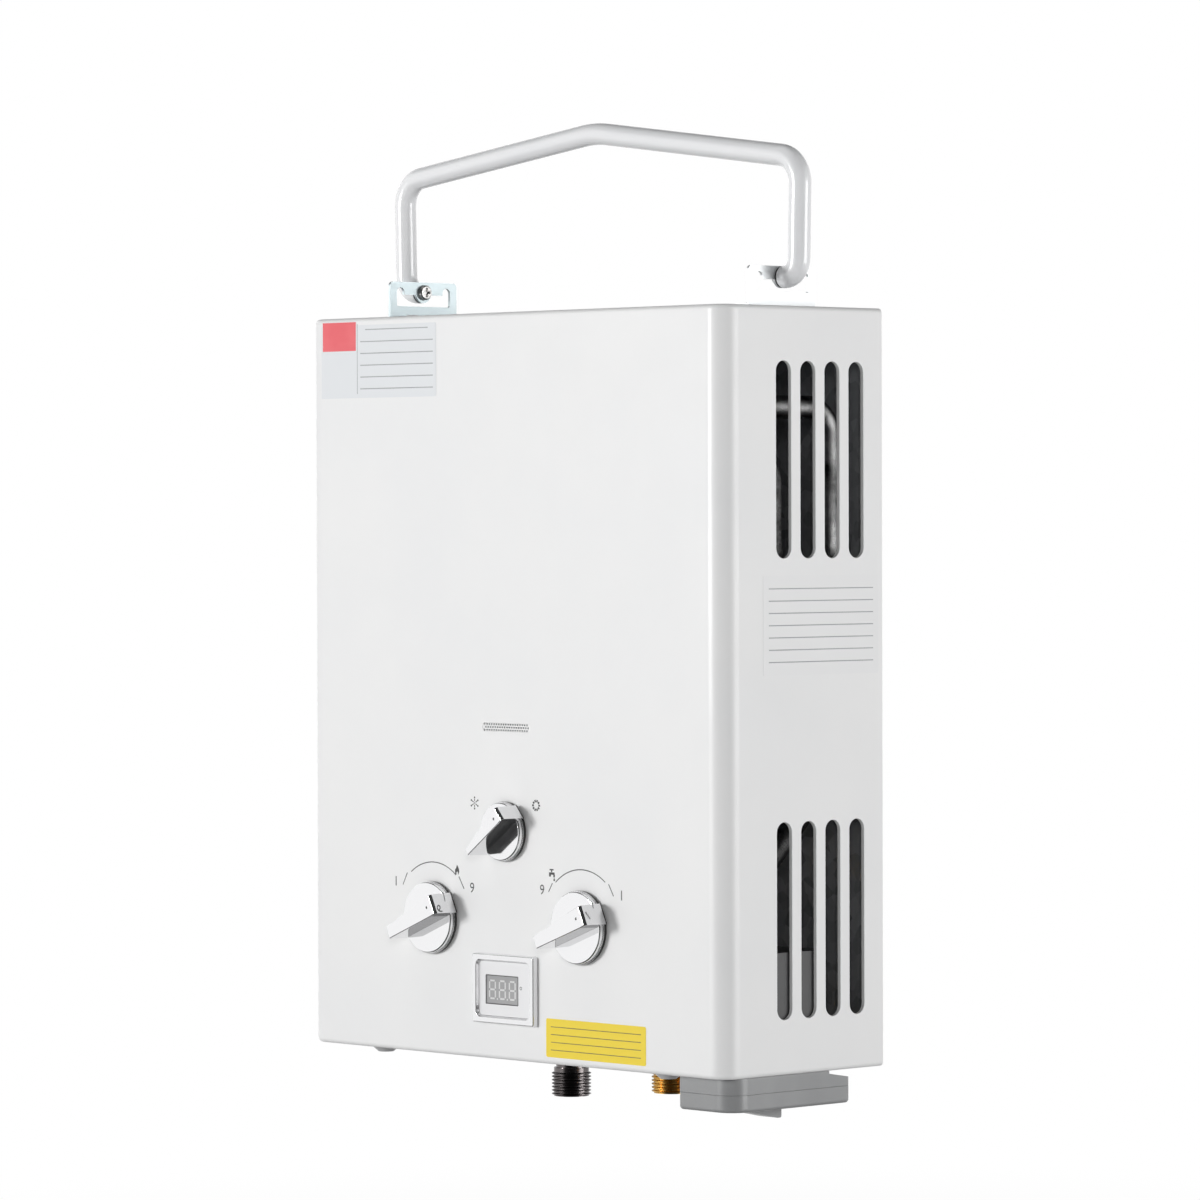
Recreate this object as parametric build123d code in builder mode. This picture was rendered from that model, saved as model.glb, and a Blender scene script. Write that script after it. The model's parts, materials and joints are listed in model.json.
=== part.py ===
from build123d import *
import os
from math import cos, radians, sin

os.makedirs("parts", exist_ok=True)

# A portable, tankless propane water heater that hangs on a wall or a hook.
# Millimetres. +Z is up, -Y is the front, +X is the right hand of someone facing the front.
# The origin is on the wall plane, in the middle of the casing's width, at the casing's underside.

# ---------------------------------------------------------------- driving dimensions

# Casing
case_width = 318
case_height = 390
case_depth = 115
sheet = 0.8
corner_radius = 11
fold_radius = 2.5
inner_gap = 0.3

# Controls on the front
panel_centre = -2
knob_spacing = 114
knob_height = 72
season_height = 119.4
spindle_radius = 3
spindle_hole_radius = 4.5
running_gap = 0.05

# Display
display_width = 47.6
display_height = 36.6
display_middle = 37
display_proud = 3.2

# Side louvres
louvre_width = 10.8
louvre_length = 100.2
louvre_pitch = 17.57
louvre_count = 4
louvre_middle_y = -45.5
louvre_upper_z = case_height - 78
louvre_lower_z = 78.2
louvre_lip = 1.2
louvre_roll = 0.3

# Carrying handle
handle_tube_radius = 5.75
handle_tube_wall = 1.2
handle_pivot_y = -51.3
handle_pivot_z = case_height + 15.4
handle_leg_x = 149.8
handle_shoulder_x = 151.2
handle_shoulder_z = case_height + 76
handle_peak_z = case_height + 95.6
bracket_x = 137.1
bracket_sheet = 1.5
bracket_length = 48.4
bracket_top = case_height + 21
bracket_foot = 12
pivot_screw_radius = 2.5

# Fittings under the casing, threaded G1/2
thread_radius = 10.4775
thread_pitch = 1.814
thread_depth = 1.16
fitting_y = -57.5
gas_fitting_x = -14
cold_fitting_x = 62
hot_fitting_x = 98
gas_thread_top = -8.2
gas_thread_bottom = -23.2
water_thread_top = -0.2
water_thread_bottom = -16.4

# Combustion chamber and heat exchanger
chamber_width = 184
chamber_depth = 74
chamber_middle_y = -59
chamber_bottom = 172
chamber_top = case_height - 50
chamber_corner = 10
chamber_sheet = 1
pipe_radius = 6
pipe_wall = 1
fin_count = 26
fin_pitch = 6.6
fin_sheet = 0.5
fin_middle_z = chamber_top - 28
fin_height = 30
tube_pitch = 17

# Burner
burner_count = 7
burner_pitch = 24
burner_width = 12
burner_top = 157
burner_bottom = 134
tray_bottom = 128
manifold_y = -104
manifold_z = 145
manifold_radius = 6

# Battery box, for two D cells standing side by side
battery_left = 117.4
battery_right = 157.3
battery_front = -108
battery_rear = -21.6
battery_well_rear = -37.2
battery_seam = -8.4
battery_bottom = -17.3
battery_top = 62
battery_wall = 1.2
battery_step = 1.5
battery_step_y = -38
battery_slope_fall = 4.4
cell_radius = 16.2
cell_length = 58.5

# ---------------------------------------------------------------- worked out from them

front_y = -case_depth
inner_x = case_width / 2 - sheet
inner_y = front_y + sheet
inner_top = case_height - sheet
gas_knob_x = panel_centre - knob_spacing / 2
water_knob_x = panel_centre + knob_spacing / 2
chamber_front = chamber_middle_y - chamber_depth / 2
chamber_rear = chamber_middle_y + chamber_depth / 2
tube_ys = [chamber_middle_y + tube_pitch * (i - 1.5) for i in range(4)]
coil_x = chamber_width / 2 + inner_gap + pipe_radius
coil_front = chamber_front - inner_gap - pipe_radius
coil_rear = chamber_rear + inner_gap + pipe_radius
louvre_ys = [louvre_middle_y + louvre_pitch * (i - (louvre_count - 1) / 2) for i in range(louvre_count)]
louvre_places = [(y, z) for z in (louvre_upper_z, louvre_lower_z) for y in louvre_ys]
battery_x = (battery_left + battery_right) / 2
battery_y = (battery_front + battery_rear) / 2
battery_well_y = (battery_front + battery_well_rear) / 2
battery_well_length = battery_well_rear - battery_front


def save(part, name):
    """Label a finished piece and write it as its own STEP file."""
    part.label = name
    export_step(part, f"parts/{name}.step")


def case_block(margin, rear_y):
    """The casing's outline, shrunk all round by margin, with its rear face at rear_y."""
    with BuildPart() as block:
        with BuildSketch(Plane.XY.offset(margin)):
            with Locations((0, (front_y + margin + rear_y) / 2)):
                Rectangle(case_width - 2 * margin, rear_y - front_y - margin)
        extrude(amount=case_height - 2 * margin)
        fillet(block.edges().filter_by(Axis.Z).sort_by(Axis.Y)[:2], corner_radius - margin)
        ends = block.faces().filter_by(Axis.Z)
        rims = [e for face in ends for e in face.edges() if e.center().Y < rear_y - 1]
        fillet(rims, fold_radius - margin)
    return block.part


def pipe(points, radii, outer, inner):
    """A bent tube through points, with a bend radius at each inner point."""
    with BuildPart() as tube:
        with BuildLine() as route:
            FilletPolyline(*points, radius=radii)
        with BuildSketch(Plane(origin=route.line @ 0, z_dir=route.line % 0)):
            Circle(outer)
            Circle(inner, mode=Mode.SUBTRACT)
        sweep()
    return tube.part


# ---------------------------------------------------------------- casing

# Front shell: a deep tray of one painted sheet, with rolled upright corners, open at the back.
outline = case_block(0, 0)
hollow = case_block(sheet, 5)
window_length = 36.3
window_width = 4.8
window_z = 173.6
flue_width = 160
flue_depth = 56
flue_middle_y = chamber_middle_y
bottom_rim_front = 23
bottom_rim_side = 9
display_cut_width = 41
display_cut_height = 29
battery_lip = 0.7
well_gap = 0.2
well_corner = 3.5
shell_screw_x = 108.3
shell_screw_y = front_y + 10
shell_screw_hole = 2.3
bracket_screw_x = bracket_x - bracket_foot / 2 - 1
bracket_screw_ys = (handle_pivot_y - 14, handle_pivot_y + 14)
bracket_screw_hole = 1.8

with BuildPart() as front_shell:
    add(outline)
    add(hollow, mode=Mode.SUBTRACT)
    # rolled lips round the louvres, turned inwards
    for side in (-1, 1):
        with BuildSketch(Plane.YZ.offset(side * (inner_x + 0.01))):
            with Locations(*louvre_places):
                SlotOverall(louvre_length + 1.8, louvre_width + 1.8, rotation=90)
        extrude(amount=-side * (louvre_lip + 0.01))
    with BuildSketch(Plane.YZ):
        with Locations(*louvre_places):
            SlotOverall(louvre_length, louvre_width, rotation=90)
    extrude(amount=case_width, both=True, mode=Mode.SUBTRACT)
    side_faces = front_shell.faces().filter_by(Axis.X).group_by(Axis.X)
    slot_rims = [w.edges() for f in (side_faces[0][0], side_faces[-1][0]) for w in f.inner_wires()]
    fillet([e for rim in slot_rims for e in rim], louvre_roll)
    # front: spindle holes, display cut-out and the slot of the flame window
    with BuildSketch(Plane.XZ.offset(-front_y)):
        with Locations((gas_knob_x, knob_height), (water_knob_x, knob_height), (panel_centre, season_height)):
            Circle(spindle_hole_radius)
        with Locations((panel_centre, display_middle)):
            Rectangle(display_cut_width, display_cut_height)
        with Locations((panel_centre, window_z)):
            SlotOverall(window_length, window_width)
    extrude(amount=-3, mode=Mode.SUBTRACT)
    # top: the flue outlet and the screw holes of the handle brackets
    with BuildSketch(Plane.XY.offset(inner_top - 2)):
        with Locations((0, flue_middle_y)):
            Rectangle(flue_width, flue_depth)
        with Locations(*[(side * bracket_screw_x, y) for side in (-1, 1) for y in bracket_screw_ys]):
            Circle(bracket_screw_hole)
    extrude(amount=10, mode=Mode.SUBTRACT)
    # underside: open except for a rim at the front and sides
    rim_x = case_width / 2 - bottom_rim_side
    rim_y = front_y + bottom_rim_front
    with BuildSketch(Plane.XY.offset(-1)):
        with Locations((0, (rim_y + 5) / 2)):
            Rectangle(2 * rim_x, 5 - rim_y)
        with Locations((battery_x, battery_well_y)):
            RectangleRounded(
                battery_right - battery_left - 2 * battery_lip + 2 * well_gap,
                battery_well_length - 2 * battery_lip + 2 * well_gap,
                well_corner,
            )
        with Locations((-shell_screw_x, shell_screw_y), (shell_screw_x, shell_screw_y)):
            Circle(shell_screw_hole)
    extrude(amount=1 + sheet + 0.5, mode=Mode.SUBTRACT)
save(front_shell.part, "front_shell")

# Back plate: galvanised sheet inside the shell's rear edge, with side flanges folded forwards,
# two keyholes at the top, air slots low down, and a tab below for the lower wall screw.
plate = 1
plate_x = inner_x - inner_gap
plate_low = 2.4
plate_high = inner_top - inner_gap
flange_depth = 12
tab_width = 44
tab_low = -12
tab_hole_radius = 2.75
keyhole_x = 70
keyhole_z = case_height - 18
keyhole_radius = 5
keyhole_slot = 2.6

with BuildPart() as back_plate:
    with BuildSketch(Plane.XZ):
        with Locations((0, (plate_low + plate_high) / 2)):
            Rectangle(2 * plate_x, plate_high - plate_low)
        with Locations((0, (tab_low + plate_low) / 2)):
            Rectangle(tab_width, plate_low - tab_low)
    extrude(amount=plate)
    fillet(back_plate.edges().filter_by(Axis.Y).group_by(Axis.Z)[0], 5)
    fillet(back_plate.edges().filter_by(Axis.Y).group_by(Axis.Z)[-1], 3)
    with BuildSketch(Plane.XZ.offset(plate)):
        for side in (-1, 1):
            with Locations((side * (plate_x - plate / 2), (plate_low + plate_high) / 2)):
                Rectangle(plate, plate_high - plate_low - 6)
    extrude(amount=flange_depth - plate)
    with BuildSketch(Plane.XZ.offset(plate + 1)):
        with Locations((0, tab_low + 6)):
            Circle(tab_hole_radius)
        for side in (-1, 1):
            with Locations((side * keyhole_x, keyhole_z)):
                Circle(keyhole_radius)
            with Locations((side * keyhole_x, keyhole_z + 5)):
                SlotOverall(14, 2 * keyhole_slot, rotation=90)
        with Locations((0, 150)):
            with GridLocations(24, 10, 9, 3):
                SlotOverall(16, 3.6)
    extrude(amount=-plate - 2, mode=Mode.SUBTRACT)
save(back_plate.part, "back_plate")

# Bottom plate: lies on the shell's lower rim and locates the pipe fittings.
base_low = sheet + 0.1
base_sheet = 1
base_high = base_low + base_sheet
base_x = inner_x - 2
base_front = inner_y + 2
base_rear = -plate - inner_gap
neck_radius = 8.15

with BuildPart() as bottom_plate:
    with BuildSketch(Plane.XY.offset(base_low)) as base_outline:
        with Locations((0, (base_front + base_rear) / 2)):
            Rectangle(2 * base_x, base_rear - base_front)
        fillet(base_outline.vertices().group_by(Axis.Y)[0], corner_radius)
        with Locations((battery_x + 4, battery_well_y)):
            Rectangle(
                battery_right - battery_left + 8.6,
                battery_well_length + 2 * inner_gap,
                mode=Mode.SUBTRACT,
            )
        with Locations((gas_fitting_x, fitting_y)):
            Circle(neck_radius + inner_gap, mode=Mode.SUBTRACT)
        with Locations((cold_fitting_x, fitting_y), (hot_fitting_x, fitting_y)):
            Circle(thread_radius + inner_gap, mode=Mode.SUBTRACT)
        with Locations((-shell_screw_x, shell_screw_y), (shell_screw_x, shell_screw_y)):
            Circle(2.05, mode=Mode.SUBTRACT)
    extrude(amount=base_sheet)
    # air slots under the burner
    with BuildSketch(Plane.XY.offset(base_low - 1)):
        with Locations((-88, fitting_y)):
            with GridLocations(10, 40, 5, 2):
                SlotOverall(26, 4, rotation=90)
    extrude(amount=base_sheet + 2, mode=Mode.SUBTRACT)
save(bottom_plate.part, "bottom_plate")

# Flue grille: a slotted plate over the outlet in the top.
grille_sheet = 1
with BuildPart() as flue_grille:
    with BuildSketch(Plane.XY.offset(case_height)):
        with Locations((0, flue_middle_y)):
            RectangleRounded(flue_width + 14, flue_depth + 12, 3)
            with GridLocations(9.6, 1, 16, 1):
                SlotOverall(flue_depth - 6, 5, rotation=90, mode=Mode.SUBTRACT)
    extrude(amount=grille_sheet)
save(flue_grille.part, "flue_grille")

# Flue hood: narrows from the chamber to the outlet.
hood_sheet = 0.8
hood_low = chamber_top + 0.2
hood_high = inner_top - 0.2
with BuildPart() as flue_hood:
    with BuildSketch(Plane.XY.offset(hood_low)):
        with Locations((0, chamber_middle_y)):
            Rectangle(chamber_width, chamber_depth)
    with BuildSketch(Plane.XY.offset(hood_high)):
        with Locations((0, flue_middle_y)):
            Rectangle(flue_width + 4, flue_depth + 4)
    loft()
    with BuildSketch(Plane.XY.offset(hood_low - 0.01)):
        with Locations((0, chamber_middle_y)):
            Rectangle(chamber_width - 2 * hood_sheet, chamber_depth - 2 * hood_sheet)
    with BuildSketch(Plane.XY.offset(hood_high + 0.01)):
        with Locations((0, flue_middle_y)):
            Rectangle(flue_width + 4 - 2 * hood_sheet, flue_depth + 4 - 2 * hood_sheet)
    loft(mode=Mode.SUBTRACT)
save(flue_hood.part, "flue_hood")

# Flame window: a perforated strip, pressed forwards so that it fills the slot in the front.
mesh_columns = 19
mesh_pitch = 1.8
mesh_row_pitch = 1.5
mesh_hole_radius = 0.56
mesh_sheet = 0.3
mesh_gap = 0.15
mesh_inset = mesh_gap + mesh_sheet
mesh_land_y = front_y + mesh_gap
mesh_flange_y = inner_y + 0.05
mesh_flange_reach = 4
with BuildPart() as window_mesh:
    with BuildSketch(Plane.XZ.offset(-mesh_flange_y)):
        with Locations((panel_centre, window_z)):
            SlotOverall(window_length + 2 * mesh_flange_reach, window_width + 2 * mesh_flange_reach)
    extrude(amount=-mesh_sheet)
    with BuildSketch(Plane.XZ.offset(-mesh_land_y)):
        with Locations((panel_centre, window_z)):
            SlotOverall(window_length - 2 * mesh_gap, window_width - 2 * mesh_gap)
    extrude(amount=-(mesh_flange_y - mesh_land_y))
    with BuildSketch(Plane.XZ.offset(-mesh_land_y - mesh_sheet)):
        with Locations((panel_centre, window_z)):
            SlotOverall(window_length - 2 * mesh_inset, window_width - 2 * mesh_inset)
    extrude(amount=-2 * sheet, mode=Mode.SUBTRACT)
    with BuildSketch(Plane.XZ.offset(-mesh_land_y + 1)):
        for row in (-1, 0, 1):
            shift = mesh_pitch / 2 if row == 0 else 0
            with Locations((panel_centre + shift - mesh_pitch / 4, window_z + row * mesh_row_pitch)):
                with GridLocations(mesh_pitch, 1, mesh_columns, 1):
                    Circle(mesh_hole_radius)
    extrude(amount=-3, mode=Mode.SUBTRACT)
save(window_mesh.part, "window_mesh")

# Blank stickers: one upper left and one lower right on the front, one on the right side.
sticker = 0.15
sticker_corner = 1
upper_sticker_x = -101.6
upper_sticker_z = case_height - 23.5
side_sticker_z = louvre_upper_z - 84
with BuildPart() as blank_labels:
    with BuildSketch(Plane.XZ.offset(-front_y)):
        with Locations((upper_sticker_x, upper_sticker_z)):
            RectangleRounded(92, 39, sticker_corner)
        with Locations((65.2, 13.8)):
            RectangleRounded(74.2, 20, sticker_corner)
    extrude(amount=sticker)
    with BuildSketch(Plane.YZ.offset(case_width / 2)):
        with Locations((-45, side_sticker_z)):
            RectangleRounded(84, 50.5, sticker_corner)
    extrude(amount=sticker)
save(blank_labels.part, "blank_labels")

# Carry rails: angles under the top that take the handle's load to the back plate.
rail_width = 26
rail_high = inner_top - 0.1
rail_sheet = 1.2
rail_x = bracket_screw_x
rail_front = bracket_screw_ys[0] - 12
rail_rear = -plate - 0.1
with BuildPart() as carry_rails:
    for side in (-1, 1):
        with BuildSketch(Plane.XY.offset(rail_high)):
            with Locations((side * rail_x, (rail_front + rail_rear) / 2)):
                Rectangle(rail_width, rail_rear - rail_front)
            with Locations(*[(side * bracket_screw_x, y) for y in bracket_screw_ys]):
                Circle(bracket_screw_hole, mode=Mode.SUBTRACT)
        extrude(amount=-rail_sheet)
        with BuildSketch(Plane.XY.offset(rail_high)):
            with Locations((side * rail_x, rail_rear - rail_sheet / 2)):
                Rectangle(rail_width, rail_sheet)
        extrude(amount=-22)
save(carry_rails.part, "carry_rails")

# ---------------------------------------------------------------- carrying handle

window_low = case_height + 7.8
bar_low = case_height + 14.1
notch_top = case_height + 18
notch_reach = 16.7
notch_width = 5.7
window_reach = 19.35
lobe_radius = 5.6
bracket_corner = 2.4
pivot_gap = 0.06


def handle_bracket(side):
    """Upright plate with a foot turned inwards and a hook window under the pivot bar."""
    inner_face = side * (bracket_x - bracket_sheet / 2)
    with BuildPart() as bracket:
        with BuildSketch(Plane.YZ.offset(inner_face)):
            with Locations((handle_pivot_y, (case_height + bracket_top) / 2)):
                Rectangle(bracket_length, bracket_top - case_height)
        extrude(amount=side * bracket_sheet)
        fillet(bracket.edges().filter_by(Axis.X).group_by(Axis.Z)[-1], bracket_corner)
        with BuildSketch(Plane.YZ.offset(inner_face)):
            with Locations((handle_pivot_y, (window_low + bar_low) / 2)):
                RectangleRounded(2 * window_reach, bar_low - window_low, 1)
            for end in (-1, 1):
                with Locations((handle_pivot_y + end * notch_reach, (window_low + notch_top) / 2 + 1)):
                    SlotOverall(notch_top - window_low - 2, notch_width - 0.2, rotation=90)
        extrude(amount=side * bracket_sheet, mode=Mode.SUBTRACT)
        with BuildSketch(Plane.YZ.offset(inner_face)):
            with Locations((handle_pivot_y, handle_pivot_z)):
                Circle(lobe_radius)
        extrude(amount=side * bracket_sheet)
        with BuildSketch(Plane.YZ.offset(inner_face)):
            with Locations((handle_pivot_y, handle_pivot_z)):
                Circle(pivot_screw_radius + pivot_gap)
        extrude(amount=side * bracket_sheet, mode=Mode.SUBTRACT)
        with BuildSketch(Plane.XY.offset(case_height)):
            with Locations((side * (bracket_x - bracket_foot / 2), handle_pivot_y)):
                Rectangle(bracket_foot, bracket_length)
        extrude(amount=bracket_sheet)
        with BuildSketch(Plane.XY.offset(case_height)):
            with Locations(*[(side * bracket_screw_x, y) for y in bracket_screw_ys]):
                Circle(bracket_screw_hole)
        extrude(amount=bracket_sheet, mode=Mode.SUBTRACT)
    return bracket.part


save(handle_bracket(-1), "bracket_left")
save(handle_bracket(1), "bracket_right")

# Case screws: two pan heads under the front rim, four low heads on the brackets' feet.
shell_head_radius = 7.2
shell_head_height = 2.7
shell_head_flare = 48
bracket_head_radius = 3.4
bracket_screw_places = [(side * bracket_screw_x, y) for side in (-1, 1) for y in bracket_screw_ys]
shell_screw_places = [(side * shell_screw_x, shell_screw_y) for side in (-1, 1)]
foot_top = case_height + bracket_sheet
with BuildPart() as case_screws:
    with BuildSketch(Plane.XY):
        with Locations(*shell_screw_places):
            Circle(shell_head_radius)
    extrude(amount=-shell_head_height, taper=shell_head_flare)
    fillet(case_screws.faces().sort_by(Axis.Z)[:2].edges(), 0.4)
    with BuildSketch(Plane.XY.offset(-shell_head_height - 0.1)):
        with Locations(*shell_screw_places):
            Rectangle(5, 1.1)
            Rectangle(1.1, 5)
    extrude(amount=1.5, mode=Mode.SUBTRACT)
    with BuildSketch(Plane.XY.offset(-0.01)):
        with Locations(*shell_screw_places):
            Circle(2)
    extrude(amount=8)
    with BuildSketch(Plane.XY.offset(foot_top)):
        with Locations(*bracket_screw_places):
            Circle(bracket_head_radius)
    extrude(amount=1.3, taper=15)
    with BuildSketch(Plane.XY.offset(foot_top)):
        with Locations(*bracket_screw_places):
            Circle(1.6)
    extrude(amount=-(bracket_sheet + sheet + rail_sheet + 2))
    with BuildSketch(Plane.XY.offset(foot_top + 1.4)):
        with Locations(*bracket_screw_places):
            Rectangle(3.4, 0.8)
            Rectangle(0.8, 3.4)
    extrude(amount=-0.9, mode=Mode.SUBTRACT)
save(case_screws.part, "case_screws")

# Handle: one bent steel tube. Its ends turn in to the brackets, where threaded plugs close them.
washer_thickness = 0.9
washer_radius = 5.6
plug_flange = 1.2
bracket_outer = bracket_x + bracket_sheet / 2
washer_inner = bracket_outer + 0.15
plug_face = washer_inner + washer_thickness + 0.05
tube_end = plug_face + plug_flange
handle_foot_bend = 9.5
handle_corner_bend = 15
handle_peak_bend = 70
handle_route = [
    (-tube_end, handle_pivot_y, handle_pivot_z),
    (-handle_leg_x, handle_pivot_y, handle_pivot_z),
    (-handle_shoulder_x, handle_pivot_y, handle_shoulder_z),
    (0, handle_pivot_y, handle_peak_z),
    (handle_shoulder_x, handle_pivot_y, handle_shoulder_z),
    (handle_leg_x, handle_pivot_y, handle_pivot_z),
    (tube_end, handle_pivot_y, handle_pivot_z),
]
handle_bends = [
    handle_foot_bend,
    handle_corner_bend,
    handle_peak_bend,
    handle_corner_bend,
    handle_foot_bend,
]
save(
    pipe(handle_route, handle_bends, handle_tube_radius, handle_tube_radius - handle_tube_wall),
    "carry_handle",
)

plug_length = 4
plug_radius = handle_tube_radius - handle_tube_wall - 0.6
plug_gap = 0.02
plug_edge = 0.35
pivot_thread_radius = 2
with BuildPart() as handle_plugs:
    for side in (-1, 1):
        with BuildSketch(Plane.YZ.offset(side * plug_face)):
            with Locations((handle_pivot_y, handle_pivot_z)):
                Circle(handle_tube_radius)
        extrude(amount=side * (plug_flange - plug_gap))
    fillet(handle_plugs.faces().filter_by(Axis.X).edges(), plug_edge)
    for side in (-1, 1):
        with BuildSketch(Plane.YZ.offset(side * (plug_face + plug_flange / 2))):
            with Locations((handle_pivot_y, handle_pivot_z)):
                Circle(plug_radius)
        extrude(amount=side * (plug_length + plug_flange / 2))
        with BuildSketch(Plane.YZ.offset(side * (plug_face - 1))):
            with Locations((handle_pivot_y, handle_pivot_z)):
                Circle(pivot_thread_radius + plug_gap)
        extrude(amount=side * (plug_length + plug_flange + 2), mode=Mode.SUBTRACT)
save(handle_plugs.part, "handle_plugs")

with BuildPart() as handle_washers:
    for side in (-1, 1):
        with BuildSketch(Plane.YZ.offset(side * washer_inner)):
            with Locations((handle_pivot_y, handle_pivot_z)):
                Circle(washer_radius)
                Circle(pivot_screw_radius + 0.02, mode=Mode.SUBTRACT)
        extrude(amount=side * washer_thickness)
save(handle_washers.part, "handle_washers")

# Pivot screws: cross-head pan screws from inside, with a plain shoulder where the bracket turns.
pivot_head_radius = 4.2
pivot_head_height = 2.6
recess_length = 5.2
recess_width = 1.5
recess_depth = 1.7
bracket_inner = bracket_x - bracket_sheet / 2
head_seat = bracket_inner - 0.15
with BuildPart() as pivot_screws:
    for side in (-1, 1):
        with BuildSketch(Plane.YZ.offset(side * head_seat)):
            with Locations((handle_pivot_y, handle_pivot_z)):
                Circle(pivot_head_radius)
        extrude(amount=-side * pivot_head_height, taper=8)
        with BuildSketch(Plane.YZ.offset(side * head_seat)):
            with Locations((handle_pivot_y, handle_pivot_z)):
                Circle(pivot_screw_radius)
        extrude(amount=side * (plug_face - head_seat - 0.01))
        with BuildSketch(Plane.YZ.offset(side * (plug_face - 0.02))):
            with Locations((handle_pivot_y, handle_pivot_z)):
                Circle(pivot_thread_radius)
        extrude(amount=side * plug_length)
    fillet(pivot_screws.faces().filter_by(Axis.X).group_by(Axis.X)[-1].edges(), 0.2)
    heads = [f for f in pivot_screws.faces().filter_by(Axis.X) if abs(f.center().X) < head_seat - 1]
    fillet([e for f in heads for e in f.edges()], 0.9)
    for side in (-1, 1):
        with BuildSketch(Plane.YZ.offset(side * (head_seat - pivot_head_height))):
            with Locations((handle_pivot_y, handle_pivot_z)):
                Rectangle(recess_length, recess_width)
                Rectangle(recess_width, recess_length)
        extrude(amount=side * recess_depth, mode=Mode.SUBTRACT)
save(pivot_screws.part, "pivot_screws")

# ---------------------------------------------------------------- heat exchanger

# Chamber jacket: a copper duct, open above and below, with a peep slot behind the flame window.
peep_width = 44
peep_height = 8
with BuildPart() as chamber_jacket:
    with BuildSketch(Plane.XY.offset(chamber_bottom)):
        with Locations((0, chamber_middle_y)):
            RectangleRounded(chamber_width, chamber_depth, chamber_corner)
            RectangleRounded(
                chamber_width - 2 * chamber_sheet,
                chamber_depth - 2 * chamber_sheet,
                chamber_corner - chamber_sheet,
                mode=Mode.SUBTRACT,
            )
    extrude(amount=chamber_top - chamber_bottom)
    with BuildSketch(Plane.YZ):
        with Locations(*[(y, fin_middle_z) for y in tube_ys]):
            Circle(pipe_radius + running_gap)
    extrude(amount=chamber_width, both=True, mode=Mode.SUBTRACT)
    with BuildSketch(Plane.XZ.offset(-chamber_front - 3)):
        with Locations((panel_centre, chamber_bottom + peep_height / 2)):
            Rectangle(peep_width, peep_height)
    extrude(amount=6, mode=Mode.SUBTRACT)
save(chamber_jacket.part, "chamber_jacket")

# Fins: thin copper plates threaded on the four tubes.
with BuildPart() as heat_fins:
    for i in range(fin_count):
        with BuildSketch(Plane.YZ.offset((i - (fin_count - 1) / 2) * fin_pitch - fin_sheet / 2)):
            with Locations((chamber_middle_y, fin_middle_z)):
                Rectangle(chamber_depth - 2 * chamber_sheet - 3, fin_height)
            with Locations(*[(y, fin_middle_z) for y in tube_ys]):
                Circle(pipe_radius + running_gap, mode=Mode.SUBTRACT)
        extrude(amount=fin_sheet)
save(heat_fins.part, "heat_fins")

# Four straight tubes through the fins and the jacket's walls.
tube_reach = chamber_width / 2 + 5
with BuildPart() as exchanger_tubes:
    with BuildSketch(Plane.YZ.offset(-tube_reach)):
        with Locations(*[(y, fin_middle_z) for y in tube_ys]):
            Circle(pipe_radius)
            Circle(pipe_radius - pipe_wall, mode=Mode.SUBTRACT)
    extrude(amount=2 * tube_reach)
save(exchanger_tubes.part, "exchanger_tubes")

# Return bends: two on the left, one on the right.
with BuildPart() as return_bends:
    for side, y in ((-1, tube_ys[0]), (-1, tube_ys[2]), (1, tube_ys[1])):
        with BuildSketch(Plane.YZ.offset(side * tube_reach)):
            with Locations((y, fin_middle_z)):
                Circle(pipe_radius)
                Circle(pipe_radius - pipe_wall, mode=Mode.SUBTRACT)
        turn = Axis((side * tube_reach, y + tube_pitch / 2, fin_middle_z), (0, 0, side))
        revolve(axis=turn, revolution_arc=180)
save(return_bends.part, "return_bends")

# Coil: cold water climbs in two turns round the jacket and enters the rear tube.
coil_start_y = -64
coil_start_z = 150
coil_turn_z = [chamber_bottom + rise for rise in (28, 42, 58, 74)]
coil_bend = chamber_corner + inner_gap + pipe_radius
riser_x = tube_reach + 14
riser_turn_z = chamber_top - 70
jacket_coil_route = [
    (coil_x, coil_start_y, coil_start_z),
    (coil_x, coil_start_y, coil_turn_z[0]),
    (coil_x, coil_front, coil_turn_z[0]),
    (-coil_x, coil_front, coil_turn_z[0]),
    (-coil_x, coil_rear, coil_turn_z[1]),
    (coil_x, coil_rear, coil_turn_z[1]),
    (coil_x, coil_front, coil_turn_z[2]),
    (-coil_x, coil_front, coil_turn_z[2]),
    (-coil_x, coil_rear, coil_turn_z[3]),
    (coil_x, coil_rear, coil_turn_z[3]),
    (riser_x, tube_ys[3], riser_turn_z),
    (riser_x, tube_ys[3], fin_middle_z),
    (tube_reach, tube_ys[3], fin_middle_z),
]
jacket_coil_bends = [11] + [coil_bend] * 8 + [10, 12]
save(pipe(jacket_coil_route, jacket_coil_bends, pipe_radius, pipe_radius - pipe_wall), "jacket_coil")

# Hot pipe: from the front tube back along the right-hand side and down to the outlet fitting.
hot_pipe_x = tube_reach + 43
hot_pipe_y = -20
hot_run_z = chamber_top - 1
hot_turn_z = 150
hot_elbow_z = 70
hot_pipe_end = 26
hot_route = [
    (tube_reach, tube_ys[0], fin_middle_z),
    (tube_reach + 15, tube_ys[0], fin_middle_z),
    (hot_pipe_x, tube_ys[0], hot_run_z),
    (hot_pipe_x, hot_pipe_y, hot_run_z),
    (hot_pipe_x, hot_pipe_y, hot_turn_z),
    (hot_fitting_x, fitting_y, hot_elbow_z),
    (hot_fitting_x, fitting_y, hot_pipe_end),
]
save(pipe(hot_route, [14, 14, 15, 20, 20], pipe_radius, pipe_radius - pipe_wall), "hot_pipe")

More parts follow.
